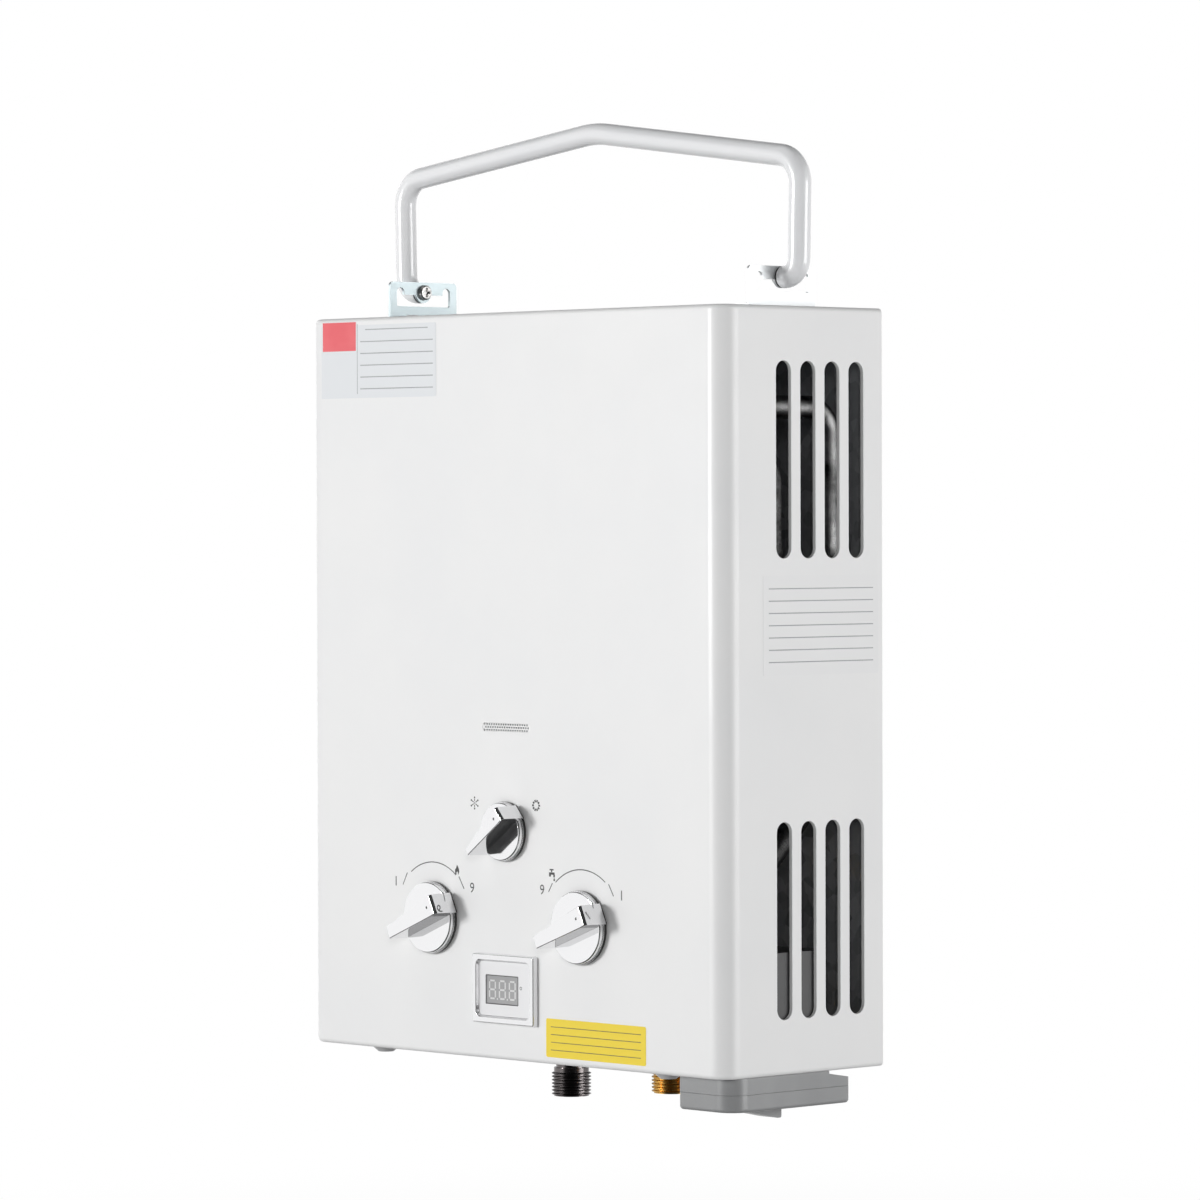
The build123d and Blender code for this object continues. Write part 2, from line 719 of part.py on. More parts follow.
# Cold pipe: from the water valve up to the coil.
cold_pipe_x = 68
cold_pipe_y = coil_start_y
water_body_top = 94
cold_run_z = 118
cold_route = [
    (cold_pipe_x, cold_pipe_y, water_body_top + 0.1),
    (cold_pipe_x, cold_pipe_y, cold_run_z),
    (coil_x, cold_pipe_y, cold_run_z),
    (coil_x, cold_pipe_y, coil_start_z),
]
save(pipe(cold_route, [12, 14], pipe_radius, pipe_radius - pipe_wall), "cold_pipe")

# Overheat thermostat: a disc with two tabs, clipped to the jacket's left wall.
cutout_z = chamber_top - 65
with BuildPart() as overheat_cutout:
    with BuildSketch(Plane.YZ.offset(-chamber_width / 2 - 0.1)):
        with Locations((chamber_middle_y, cutout_z)):
            Circle(8)
    extrude(amount=-5)
    with BuildSketch(Plane.YZ.offset(-chamber_width / 2 - 5)):
        with Locations((chamber_middle_y, cutout_z)):
            Circle(6)
    extrude(amount=-4)
    with BuildSketch(Plane.YZ.offset(-chamber_width / 2 - 8)):
        with Locations((chamber_middle_y - 3.2, cutout_z), (chamber_middle_y + 3.2, cutout_z)):
            Rectangle(0.8, 5)
    extrude(amount=-9)
save(overheat_cutout.part, "overheat_cutout")

# ---------------------------------------------------------------- burner

tray_sheet = 1
tray_width = 176
tray_depth = chamber_depth
tray_front = chamber_middle_y - tray_depth / 2
burner_xs = [burner_pitch * (i - (burner_count - 1) / 2) for i in range(burner_count)]
electrode_xs = (-36, 36)
electrode_z = 163
ceramic_radius = 3
tray_lip = 4
with BuildPart() as burner_tray:
    with BuildSketch(Plane.XY.offset(tray_bottom)):
        with Locations((0, chamber_middle_y)):
            Rectangle(tray_width, tray_depth)
            Rectangle(tray_width - 2 * tray_sheet, tray_depth - 2 * tray_sheet, mode=Mode.SUBTRACT)
    extrude(amount=chamber_bottom - 0.1 - tray_bottom)
    with BuildSketch(Plane.XY.offset(chamber_bottom - 0.1)):
        with Locations((0, chamber_middle_y)):
            Rectangle(tray_width + 2 * tray_lip, tray_depth)
            Rectangle(tray_width - 2 * tray_sheet, tray_depth - 2 * tray_sheet, mode=Mode.SUBTRACT)
    extrude(amount=-tray_sheet)
    with BuildSketch(Plane.XY.offset(burner_bottom - 0.1)):
        with Locations((0, chamber_middle_y)):
            Rectangle(tray_width - tray_sheet, tray_depth - tray_sheet)
            with GridLocations(burner_pitch, 1, burner_count + 1, 1):
                SlotOverall(tray_depth - 16, 7, rotation=90, mode=Mode.SUBTRACT)
    extrude(amount=-tray_sheet)
    with BuildSketch(Plane.XZ.offset(-tray_front + 2)):
        with Locations(*[(x, manifold_z) for x in burner_xs]):
            Circle(5)
        with Locations(*[(x, electrode_z) for x in electrode_xs]):
            Circle(ceramic_radius + running_gap)
    extrude(amount=-4, mode=Mode.SUBTRACT)
save(burner_tray.part, "burner_tray")

# Burner bars: hollow blades with a mixing throat at the front and ports along the top.
bar_front = tray_front + tray_sheet + 0.4
bar_rear = chamber_rear - tray_sheet - 0.4
with BuildPart() as burner_bars:
    for x in burner_xs:
        with BuildSketch(Plane.XZ.offset(-bar_front)):
            with Locations((x, (burner_top + burner_bottom) / 2)):
                RectangleRounded(burner_width, burner_top - burner_bottom, 4)
        extrude(amount=-(bar_rear - bar_front))
        with BuildSketch(Plane.XZ.offset(-bar_front)):
            with Locations((x, (burner_top + burner_bottom) / 2)):
                RectangleRounded(burner_width - 1.6, burner_top - burner_bottom - 1.6, 3.2)
        extrude(amount=-(bar_rear - bar_front - 0.8), mode=Mode.SUBTRACT)
        with BuildSketch(Plane.XY.offset(burner_top + 1)):
            with Locations((x, chamber_middle_y)):
                with GridLocations(1, 5, 1, 12):
                    Rectangle(5, 1.4)
        extrude(amount=-3, mode=Mode.SUBTRACT)
save(burner_bars.part, "burner_bars")

# Gas manifold: a closed cross tube in front of the burner with a stub down to the season valve.
season_body_top = 127.5
manifold_reach = 82
season_stub_radius = 5
nozzle_radius = 2.6
with BuildPart() as gas_manifold:
    with BuildSketch(Plane.YZ.offset(-manifold_reach)):
        with Locations((manifold_y, manifold_z)):
            Circle(manifold_radius)
    extrude(amount=2 * manifold_reach)
    with BuildSketch(Plane.XY.offset(season_body_top + 0.1)):
        with Locations((panel_centre, manifold_y)):
            Circle(season_stub_radius)
    extrude(amount=manifold_z - season_body_top)
    with BuildSketch(Plane.YZ.offset(-manifold_reach + 1.2)):
        with Locations((manifold_y, manifold_z)):
            Circle(manifold_radius - 1.2)
    extrude(amount=2 * (manifold_reach - 1.2), mode=Mode.SUBTRACT)
    with BuildSketch(Plane.XY.offset(season_body_top)):
        with Locations((panel_centre, manifold_y)):
            Circle(season_stub_radius - 1.2)
    extrude(amount=manifold_z - season_body_top, mode=Mode.SUBTRACT)
    with BuildSketch(Plane.XZ.offset(-manifold_y)):
        with Locations(*[(x, manifold_z) for x in burner_xs]):
            Circle(nozzle_radius - 0.6)
    extrude(amount=-manifold_radius - 1, mode=Mode.SUBTRACT)
save(gas_manifold.part, "gas_manifold")

# Nozzles: brass jets screwed into the manifold, one for each bar.
with BuildPart() as gas_nozzles:
    for x in burner_xs:
        with BuildSketch(Plane.XZ.offset(-manifold_y - manifold_radius + 1)):
            with Locations((x, manifold_z)):
                Circle(nozzle_radius - 0.65)
        extrude(amount=-2)
        with BuildSketch(Plane.XZ.offset(-manifold_y - manifold_radius - 0.1)):
            with Locations((x, manifold_z)):
                RegularPolygon(3.6, 6)
        extrude(amount=-3)
        with BuildSketch(Plane.XZ.offset(-manifold_y - manifold_radius)):
            with Locations((x, manifold_z)):
                Circle(0.5)
        extrude(amount=5, both=True, mode=Mode.SUBTRACT)
save(gas_nozzles.part, "gas_nozzles")

# Electrodes: one sparks and one senses the flame. White sleeves in the tray's front wall, wire tips.
ceramic_front = tray_front - 10
ceramic_rear = tray_front + 6
rod_radius = 0.9
with BuildPart() as electrode_sleeves:
    for x in electrode_xs:
        with BuildSketch(Plane.XZ.offset(-ceramic_front)):
            with Locations((x, electrode_z)):
                Circle(ceramic_radius)
                Circle(rod_radius + 0.02, mode=Mode.SUBTRACT)
        extrude(amount=-(ceramic_rear - ceramic_front))
        with BuildSketch(Plane.XZ.offset(-tray_front + 0.1)):
            with Locations((x, electrode_z)):
                Circle(ceramic_radius + 1.6)
                Circle(ceramic_radius - 0.5, mode=Mode.SUBTRACT)
        extrude(amount=2.5)
save(electrode_sleeves.part, "electrode_sleeves")

with BuildPart() as electrode_rods:
    for x in electrode_xs:
        with BuildLine() as rod_route:
            FilletPolyline(
                (x, ceramic_front - 3, electrode_z),
                (x, ceramic_rear + 14, electrode_z),
                (x, ceramic_rear + 17, electrode_z - 4),
                radius=2,
            )
        with BuildSketch(Plane(origin=rod_route.line @ 0, z_dir=rod_route.line % 0)):
            Circle(rod_radius)
        sweep()
save(electrode_rods.part, "electrode_rods")

# ---------------------------------------------------------------- gas and water valves

gas_body_left = -86
gas_body_right = -2
body_front = -88
body_rear = -40
body_low = 50
body_high = 94
boss_front = -104
boss_radius = 11
pin_y = -64
pin_radius = 2
pin_reach = -40
inlet_boss_low = 34
inlet_boss_radius = 12
season_left = panel_centre - 22
season_right = panel_centre + 22
season_front = -111
season_rear = -62
season_low = 106
spindle_depth = 30
spindle_rear = boss_front + spindle_depth
season_spindle_rear = season_front + spindle_depth
bore_radius = spindle_radius + running_gap
blind = 1

# Gas valve: cast body with the knob's boss in front, the inlet boss below and a duct upwards.
with BuildPart() as gas_valve_body:
    with BuildSketch(Plane.XY.offset(body_low)):
        with Locations(((gas_body_left + gas_body_right) / 2, (body_front + body_rear) / 2)):
            Rectangle(gas_body_right - gas_body_left, body_rear - body_front)
    extrude(amount=body_high - body_low)
    fillet(gas_valve_body.edges().filter_by(Axis.Z), 5)
    with BuildSketch(Plane.XZ.offset(-body_front)):
        with Locations((gas_knob_x, knob_height)):
            Circle(boss_radius)
    extrude(amount=body_front - boss_front, taper=4)
    with BuildSketch(Plane.XY.offset(body_low)):
        with Locations((gas_fitting_x, fitting_y)):
            Circle(inlet_boss_radius)
    extrude(amount=-(body_low - inlet_boss_low))
    with BuildSketch(Plane.XY.offset(body_high)):
        with Locations((season_left + 10, -75)):
            Rectangle(16, 24)
    extrude(amount=season_low - body_high - 0.1)
    with BuildSketch(Plane.XZ.offset(-boss_front)):
        with Locations((gas_knob_x, knob_height)):
            Circle(bore_radius)
    extrude(amount=-spindle_depth - blind, mode=Mode.SUBTRACT)
    with BuildSketch(Plane.YZ.offset(gas_body_right)):
        with Locations((pin_y, knob_height)):
            Circle(pin_radius + running_gap)
    extrude(amount=pin_reach - gas_body_right - 6, mode=Mode.SUBTRACT)
    with BuildSketch(Plane.XY.offset(inlet_boss_low)):
        with Locations((gas_fitting_x, fitting_y)):
            Circle(6)
    extrude(amount=12, mode=Mode.SUBTRACT)
save(gas_valve_body.part, "gas_valve_body")

# Season valve: shuts some of the bars in summer. It stands on the gas valve and feeds the manifold.
with BuildPart() as season_valve_body:
    with BuildSketch(Plane.XY.offset(season_low)):
        with Locations((panel_centre, (season_front + season_rear) / 2)):
            Rectangle(season_right - season_left, season_rear - season_front)
    extrude(amount=season_body_top - season_low)
    fillet(season_valve_body.edges().filter_by(Axis.Z), 4)
    with BuildSketch(Plane.XZ.offset(-season_front)):
        with Locations((panel_centre, season_height)):
            Circle(bore_radius)
    extrude(amount=-spindle_depth - blind, mode=Mode.SUBTRACT)
    with BuildSketch(Plane.XY.offset(season_body_top)):
        with Locations((panel_centre, manifold_y)):
            Circle(season_stub_radius - 1.2)
    extrude(amount=-6, mode=Mode.SUBTRACT)
save(season_valve_body.part, "season_valve_body")

# Solenoid: the safety valve on the gas body's left end.
with BuildPart() as gas_solenoid:
    with BuildSketch(Plane.YZ.offset(gas_body_left - 0.1)):
        with Locations((pin_y, knob_height)):
            Rectangle(28, 28)
    extrude(amount=-3)
    with BuildSketch(Plane.YZ.offset(gas_body_left - 3)):
        with Locations((pin_y, knob_height)):
            Circle(11)
    extrude(amount=-22)
    fillet(gas_solenoid.faces().sort_by(Axis.X)[0].edges(), 2)
save(gas_solenoid.part, "gas_solenoid")

# Diaphragm housing between the valves: an aluminium half, the rubber disc and the water valve's half.
diaphragm_radius = 25
diaphragm_x = 17
diaphragm_thickness = 1.6
cover_depth = 9
cover_left = diaphragm_x - diaphragm_thickness / 2 - cover_depth
with BuildPart() as diaphragm_cover:
    with BuildSketch(Plane.YZ.offset(cover_left)):
        with Locations((pin_y, knob_height)):
            Circle(diaphragm_radius - 8)
    extrude(amount=cover_depth - 3)
    with BuildSketch(Plane.YZ.offset(cover_left + cover_depth - 3)):
        with Locations((pin_y, knob_height)):
            Circle(diaphragm_radius)
    extrude(amount=3)
    with BuildSketch(Plane.YZ.offset(cover_left + cover_depth)):
        with Locations((pin_y, knob_height)):
            Circle(diaphragm_radius - 10)
    extrude(amount=-cover_depth + 2, mode=Mode.SUBTRACT)
    with BuildSketch(Plane.YZ.offset(cover_left - 1)):
        with Locations((pin_y, knob_height)):
            Circle(pin_radius + running_gap)
            with PolarLocations(diaphragm_radius - 3.4, 6):
                Circle(1.7)
    extrude(amount=cover_depth + 2, mode=Mode.SUBTRACT)
save(diaphragm_cover.part, "diaphragm_cover")

with BuildPart() as diaphragm:
    with BuildSketch(Plane.YZ.offset(diaphragm_x - diaphragm_thickness / 2)):
        with Locations((pin_y, knob_height)):
            Circle(diaphragm_radius)
            with PolarLocations(diaphragm_radius - 3.4, 6):
                Circle(1.7, mode=Mode.SUBTRACT)
    extrude(amount=diaphragm_thickness)
save(diaphragm.part, "diaphragm")

# Water valve: brass body with its half of the diaphragm housing, knob boss and inlet boss.
water_left = diaphragm_x + diaphragm_thickness / 2
water_right = 78
water_block_left = water_left + 14
with BuildPart() as water_valve_body:
    with BuildSketch(Plane.YZ.offset(water_left)):
        with Locations((pin_y, knob_height)):
            Circle(diaphragm_radius)
    extrude(amount=4)
    with BuildSketch(Plane.YZ.offset(water_left + 4)):
        with Locations((pin_y, knob_height)):
            Circle(diaphragm_radius - 7)
    extrude(amount=12)
    with BuildSketch(Plane.XY.offset(body_low + 4)):
        with Locations(((water_block_left + water_right) / 2, pin_y)):
            RectangleRounded(water_right - water_block_left, 34, 5)
    extrude(amount=body_high - body_low - 8)
    with BuildSketch(Plane.XZ.offset(-pin_y)):
        with Locations((water_knob_x, knob_height)):
            Circle(boss_radius)
    extrude(amount=pin_y - boss_front)
    with BuildSketch(Plane.XY.offset(inlet_boss_low)):
        with Locations((cold_fitting_x, fitting_y)):
            Circle(inlet_boss_radius)
    extrude(amount=knob_height - inlet_boss_low)
    with BuildSketch(Plane.XY.offset(knob_height)):
        with Locations((cold_pipe_x, cold_pipe_y)):
            Circle(9)
    extrude(amount=water_body_top - knob_height)
    with BuildSketch(Plane.XZ.offset(-boss_front)):
        with Locations((water_knob_x, knob_height)):
            Circle(bore_radius)
    extrude(amount=-spindle_depth - blind, mode=Mode.SUBTRACT)
    with BuildSketch(Plane.YZ.offset(water_left)):
        with Locations((pin_y, knob_height)):
            Circle(diaphragm_radius - 10)
    extrude(amount=8, mode=Mode.SUBTRACT)
    with BuildSketch(Plane.XY.offset(inlet_boss_low)):
        with Locations((cold_fitting_x, fitting_y)):
            Circle(6)
    extrude(amount=14, mode=Mode.SUBTRACT)
    with BuildSketch(Plane.XY.offset(water_body_top)):
        with Locations((cold_pipe_x, cold_pipe_y)):
            Circle(pipe_radius - pipe_wall)
    extrude(amount=-14, mode=Mode.SUBTRACT)
    with BuildSketch(Plane.YZ.offset(water_left - 1)):
        with Locations((pin_y, knob_height)):
            with PolarLocations(diaphragm_radius - 3.4, 6):
                Circle(1.7)
    extrude(amount=8, mode=Mode.SUBTRACT)
save(water_valve_body.part, "water_valve_body")

# Housing screws: six through the two halves and the rubber.
with BuildPart() as housing_screws:
    with BuildSketch(Plane.YZ.offset(cover_left + cover_depth - 3 - 0.05)):
        with Locations((pin_y, knob_height)):
            with PolarLocations(diaphragm_radius - 3.4, 6):
                Circle(2.9)
    extrude(amount=-2.2)
    with BuildSketch(Plane.YZ.offset(cover_left + cover_depth - 3 - 0.06)):
        with Locations((pin_y, knob_height)):
            with PolarLocations(diaphragm_radius - 3.4, 6):
                Circle(1.6)
    extrude(amount=10)
save(housing_screws.part, "housing_screws")

# Valve pin: pushed left by the diaphragm when water flows. Its collar works the microswitch.
pin_travel = 3
collar_left = 3.6
collar_width = 2
collar_radius = 6
with BuildPart() as valve_pin:
    with BuildSketch(Plane.YZ.offset(pin_reach)):
        with Locations((pin_y, knob_height)):
            Circle(pin_radius)
    extrude(amount=diaphragm_x - diaphragm_thickness / 2 - 0.1 - pin_reach)
    with BuildSketch(Plane.YZ.offset(collar_left)):
        with Locations((pin_y, knob_height)):
            Circle(collar_radius)
    extrude(amount=collar_width)
save(valve_pin.part, "valve_pin")

# Microswitch: a block on the gas valve's face with a stub that its lever turns on.
lever_gap = 0.4
lever_sheet = 0.8
lever_x = collar_left - lever_gap - lever_sheet
lever_pivot_y = -92
lever_hub_radius = 2.4
lever_pin_radius = 1
switch_low = 62
switch_high = 82
lever_low = 69.5
lever_high = 74.5
with BuildPart() as microswitch:
    with BuildSketch(Plane.XY.offset(switch_low)):
        with Locations((lever_x - 12, -93.2)):
            Rectangle(14, 10)
    extrude(amount=switch_high - switch_low)
    with BuildSketch(Plane.XY.offset(lever_low - 2.2)):
        with Locations((lever_x - 5, lever_pivot_y - 1)):
            Rectangle(14, 6)
    extrude(amount=2)
    with BuildSketch(Plane.XY.offset(lever_low - 1)):
        with Locations((lever_x, lever_pivot_y)):
            Circle(lever_pin_radius)
    extrude(amount=lever_high - lever_low + 2)
save(microswitch.part, "microswitch")

with BuildPart() as switch_lever:
    with BuildSketch(Plane.XY.offset(lever_low)):
        with Locations((lever_x, lever_pivot_y)):
            Circle(lever_hub_radius)
        with Locations((lever_x + lever_sheet / 2, (lever_pivot_y - 66.6) / 2)):
            Rectangle(lever_sheet, -66.6 - lever_pivot_y)
        with Locations((lever_x, lever_pivot_y)):
            Circle(lever_pin_radius + running_gap, mode=Mode.SUBTRACT)
    extrude(amount=lever_high - lever_low)
save(switch_lever.part, "switch_lever")

# Chassis brackets: two channels from the jacket and one shelf from the gas valve to the back plate.
channel_x = 62
channel_width = 26
channel_height = 60
channel_low = chamber_top - 76
channel_sheet = 1.2
shelf_x = -50
shelf_width = 40
shelf_low = body_low + 6
shelf_sheet = 1.5
shelf_height = 24
bracket_play = 0.1
channel_depth = rail_rear - chamber_rear - 2 * bracket_play
with BuildPart() as chassis_brackets:
    for side in (-1, 1):
        with BuildSketch(Plane.XY.offset(channel_low)):
            with Locations((side * channel_x, (chamber_rear + rail_rear) / 2)):
                Rectangle(channel_width, channel_depth)
                with Locations((0, -channel_sheet)):
                    Rectangle(channel_width - 2 * channel_sheet, channel_depth - 1, mode=Mode.SUBTRACT)
        extrude(amount=channel_height)
    with BuildSketch(Plane.XY.offset(shelf_low)):
        with Locations((shelf_x, (body_rear + rail_rear) / 2)):
            Rectangle(shelf_width, rail_rear - body_rear - 2 * bracket_play)
    extrude(amount=shelf_sheet)
    with BuildSketch(Plane.XY.offset(shelf_low)):
        reach = bracket_play + shelf_sheet / 2
        with Locations((shelf_x, body_rear + reach), (shelf_x, rail_rear - reach)):
            Rectangle(shelf_width, shelf_sheet)
    extrude(amount=shelf_height)
save(chassis_brackets.part, "chassis_brackets")

# ---------------------------------------------------------------- fittings below the casing


def threaded_tail(x, thread_top, thread_bottom):
    """A G1/2 external thread, drawn as its rows of crests, round a water or gas way."""
    root = thread_radius - thread_depth
    rows = int((thread_top - thread_bottom - 1.2) / thread_pitch)
    crest = 0.32
    flank = (thread_pitch - crest) * 0.36
    with BuildPart() as tail:
        with BuildSketch(Plane.XZ.offset(-fitting_y)):
            with Locations((x + root / 2, (thread_top + thread_bottom) / 2)):
                Rectangle(root, thread_top - thread_bottom)
            for row in range(rows):
                z = thread_bottom + 1.1 + row * thread_pitch
                with BuildLine():
                    Polyline(
                        (x + root - 0.2, z - crest / 2 - flank),
                        (x + root, z - crest / 2 - flank),
                        (x + thread_radius, z - crest / 2),
                        (x + thread_radius, z + crest / 2),
                        (x + root, z + crest / 2 + flank),
                        (x + root - 0.2, z + crest / 2 + flank),
                        close=True,
                    )
                make_face()
        revolve(axis=Axis((x, fitting_y, 0), (0, 0, 1)))
    return tail.part


def hexagon(x, low, high, radius):
    """An upright hexagonal prism round a fitting's axis."""
    with BuildPart() as prism:
        with BuildSketch(Plane.XY.offset(low)):
            with Locations((x, fitting_y)):
                RegularPolygon(radius, 6, rotation=30)
        extrude(amount=high - low)
    return prism.part


def fitting(x, tail, prism, collar_radius, collar_low, collar_high, way):
    """A pipe fitting: threaded tail, plain collar, hexagon and a bore right through."""
    with BuildPart() as body:
        add(tail)
        with BuildSketch(Plane.XY.offset(collar_low - 0.01)):
            with Locations((x, fitting_y)):
                Circle(collar_radius)
        extrude(amount=collar_high - collar_low + 0.01)
        add(prism)
        with BuildSketch(Plane.XY.offset(collar_high + 1)):
            with Locations((x, fitting_y)):
                Circle(way)
        extrude(amount=-collar_high - 41, mode=Mode.SUBTRACT)
    return body.part


hex_radius = 13
hex_height = 11
gas_hex_low = 6
water_hex_low = 9
water_neck_radius = 9.2
gas_way = 5
cold_way = 6
hot_way = 5
gas_tail = threaded_tail(gas_fitting_x, gas_thread_top, gas_thread_bottom)
gas_hex = hexagon(gas_fitting_x, gas_hex_low, gas_hex_low + hex_height, hex_radius)
gas_neck_top = inlet_boss_low - 0.05
gas_fitting = fitting(gas_fitting_x, gas_tail, gas_hex, neck_radius, gas_thread_top, gas_neck_top, gas_way)
save(gas_fitting, "gas_inlet_fitting")
cold_tail = threaded_tail(cold_fitting_x, water_thread_top, water_thread_bottom)
cold_hex = hexagon(cold_fitting_x, water_hex_low, water_hex_low + hex_height, hex_radius)
cold_fitting = fitting(
    cold_fitting_x, cold_tail, cold_hex, water_neck_radius, water_thread_top, gas_neck_top, cold_way
)
save(cold_fitting, "water_inlet_fitting")
hot_tail = threaded_tail(hot_fitting_x, water_thread_top, water_thread_bottom)
hot_hex = hexagon(hot_fitting_x, water_hex_low, water_hex_low + hex_height, hex_radius)
hot_neck_top = hot_pipe_end - 0.1
hot_fitting = fitting(
    hot_fitting_x, hot_tail, hot_hex, water_neck_radius, water_thread_top, hot_neck_top, hot_way
)
save(hot_fitting, "water_outlet_fitting")

# Pipe nuts: three lock nuts clamp the fittings to the bottom plate, three union nuts join the pipes.
lock_low = base_high + 0.05
lock_nut_radius = 14.5
union_nut_radius = 10
union_nut_length = 10
with BuildPart() as pipe_nuts:
    for x, bore, high in (
        (gas_fitting_x, neck_radius, gas_hex_low - 0.1),
        (cold_fitting_x, water_neck_radius, water_hex_low - 0.1),
        (hot_fitting_x, water_neck_radius, water_hex_low - 0.1),
    ):
        with BuildSketch(Plane.XY.offset(lock_low)):
            with Locations((x, fitting_y)):
                RegularPolygon(lock_nut_radius, 6)
                Circle(bore + running_gap, mode=Mode.SUBTRACT)
        extrude(amount=high - lock_low)
    for x, y, z in (
        (cold_pipe_x, cold_pipe_y, water_body_top + 0.1),
        (coil_x, coil_start_y, coil_start_z - union_nut_length / 2),
        (hot_fitting_x, fitting_y, hot_pipe_end),
    ):
        with BuildSketch(Plane.XY.offset(z)):
            with Locations((x, y)):
                RegularPolygon(union_nut_radius, 6)
                Circle(pipe_radius + running_gap, mode=Mode.SUBTRACT)
        extrude(amount=union_nut_length)
save(pipe_nuts.part, "pipe_nuts")

# ---------------------------------------------------------------- knobs and spindles

knob_gap = 0.7
knob_proud = 17
disc_thickness = 4.3
skirt_thickness = 2.1
skirt_step = 0.5
skirt_edge = 0.4
disc_edge = 0.9
grip_overhang = 0.9
grip_draft = 1.5
grip_edge = 0.5
grip_block = 4.6
bevel_reach = 1.15
bevel_drop = 2.45
dimple_radius = 0.7
dimple_place = 5.2
dimple_depth = 0.5
spindle_press = 0.02
spindle_depth = 8.8
socket_depth = 9


def knob(x, z, radius, tilt, tip, tip_width, end_width):
    """Stepped round skirt with a tapered grip across it. The wide end overhangs and is bevelled."""
    face = front_y - knob_gap
    grip_end = radius + grip_overhang
    grip_top = knob_proud - knob_gap
    along = (cos(radians(tilt)), 0, sin(radians(tilt)))
    across = (-sin(radians(tilt)), 0, cos(radians(tilt)))
    frame = Plane(origin=(x, face, z), x_dir=along, z_dir=(0, -1, 0))
    with BuildPart() as body:
        with BuildSketch(Plane.XZ.offset(-face)):
            with Locations((x, z)):
                Circle(radius)
        extrude(amount=skirt_thickness)
        fillet(body.faces().sort_by(Axis.Y)[0].edges(), skirt_edge)
        with BuildSketch(Plane.XZ.offset(-face + skirt_thickness - skirt_step)):
            with Locations((x, z)):
                Circle(radius - skirt_step)
        extrude(amount=disc_thickness - skirt_thickness + skirt_step)
        fillet(body.faces().sort_by(Axis.Y)[0].edges(), disc_edge)
        with BuildSketch(frame.offset(1)):
            with BuildLine():
                Polyline(
                    (-tip, -tip_width / 2),
                    (grip_end - grip_block, -end_width / 2),
                    (grip_end, -end_width / 2),
                    (grip_end, end_width / 2),
                    (grip_end - grip_block, end_width / 2),
                    (-tip, tip_width / 2),
                    close=True,
                )
            make_face()
        extrude(amount=grip_top - 1, taper=grip_draft)
        bevel_side = Plane(origin=(x, face - grip_top, z), x_dir=along, z_dir=across)
        with BuildSketch(bevel_side):
            with BuildLine():
                Polyline(
                    (grip_end - bevel_reach, -0.01),
                    (grip_end + bevel_reach, -0.01),
                    (grip_end + bevel_reach, 2 * bevel_drop),
                    close=True,
                )
            make_face()
        extrude(amount=end_width, both=True, mode=Mode.SUBTRACT)
        top = body.faces().sort_by(Axis.Y)[0]
        fillet(top.edges(), grip_edge)
        with BuildSketch(frame.offset(grip_top)):
            with Locations((grip_end - dimple_place, 0)):
                Circle(dimple_radius)
        extrude(amount=-dimple_depth, mode=Mode.SUBTRACT)
        with BuildSketch(Plane.XZ.offset(-face)):
            with Locations((x, z)):
                Circle(spindle_radius + spindle_press)
        extrude(amount=socket_depth, mode=Mode.SUBTRACT)
    return body.part


def spindle(x, z, rear):
    """A round shaft from the valve's bore through the casing into the knob."""
    with BuildPart() as shaft:
        with BuildSketch(Plane.XZ.offset(-rear)):
            with Locations((x, z)):
                Circle(spindle_radius)
        extrude(amount=rear - front_y + knob_gap + spindle_depth)
    return shaft.part


big_knob = 19.2
small_knob = 15.7
save(knob(gas_knob_x, knob_height, big_knob, 25.5, 19.6, 7.4, 11.4), "gas_knob")
save(knob(water_knob_x, knob_height, big_knob, 23.8, 19.6, 7.4, 11.4), "water_knob")
save(knob(panel_centre, season_height, small_knob, 40.7, 16.9, 4.4, 8.6), "season_knob")
save(spindle(gas_knob_x, knob_height, spindle_rear), "gas_spindle")
save(spindle(water_knob_x, knob_height, spindle_rear), "water_spindle")
save(spindle(panel_centre, season_height, season_spindle_rear), "season_spindle")

# ---------------------------------------------------------------- display

bezel_wall_x = 4.4
bezel_wall_z = 4.6
bezel_edge = 0.5
bezel_slope = 0.7
bezel_fall = 1.8
bezel_rebate = 0.6
bezel_corner = 2.6
bezel_outer_corner = 1.5
plate_front = 1.3
lcd_width = 24.2
lcd_height = 14.4
lcd_shift = -2.3
lcd_middle = display_middle - 0.5
with BuildPart() as display_bezel:
    with BuildSketch(Plane.XZ.offset(-front_y + 0.02)):
        with Locations((panel_centre, display_middle)):
            RectangleRounded(display_width, display_height, bezel_outer_corner)
    extrude(amount=display_proud, taper=8)
    fillet(display_bezel.faces().sort_by(Axis.Y)[0].edges(), bezel_edge)
    with BuildSketch(Plane.XZ.offset(-front_y)):
        with Locations((panel_centre, display_middle)):
            RectangleRounded(
                display_width - 2 * bezel_wall_x + 2 * bezel_rebate,
                display_height - 2 * bezel_wall_z + 2 * bezel_rebate,
                bezel_corner,
            )
    extrude(amount=display_proud + 1, mode=Mode.SUBTRACT)
    opening = display_bezel.faces().sort_by(Axis.Y)[0].inner_wires()[0].edges()
    chamfer(opening, bezel_slope, bezel_fall)
save(display_bezel.part, "display_bezel")

with BuildPart() as display_plate:
    with BuildSketch(Plane.XZ.offset(-front_y + 0.05)):
        with Locations((panel_centre, display_middle)):
            RectangleRounded(
                display_width - 2 * bezel_wall_x + 2 * bezel_rebate - 0.2,
                display_height - 2 * bezel_wall_z + 2 * bezel_rebate - 0.2,
                bezel_corner - 0.1,
            )
        with Locations((panel_centre + lcd_shift, lcd_middle)):
            Rectangle(lcd_width, lcd_height, mode=Mode.SUBTRACT)
    extrude(amount=plate_front)
save(display_plate.part, "display_plate")

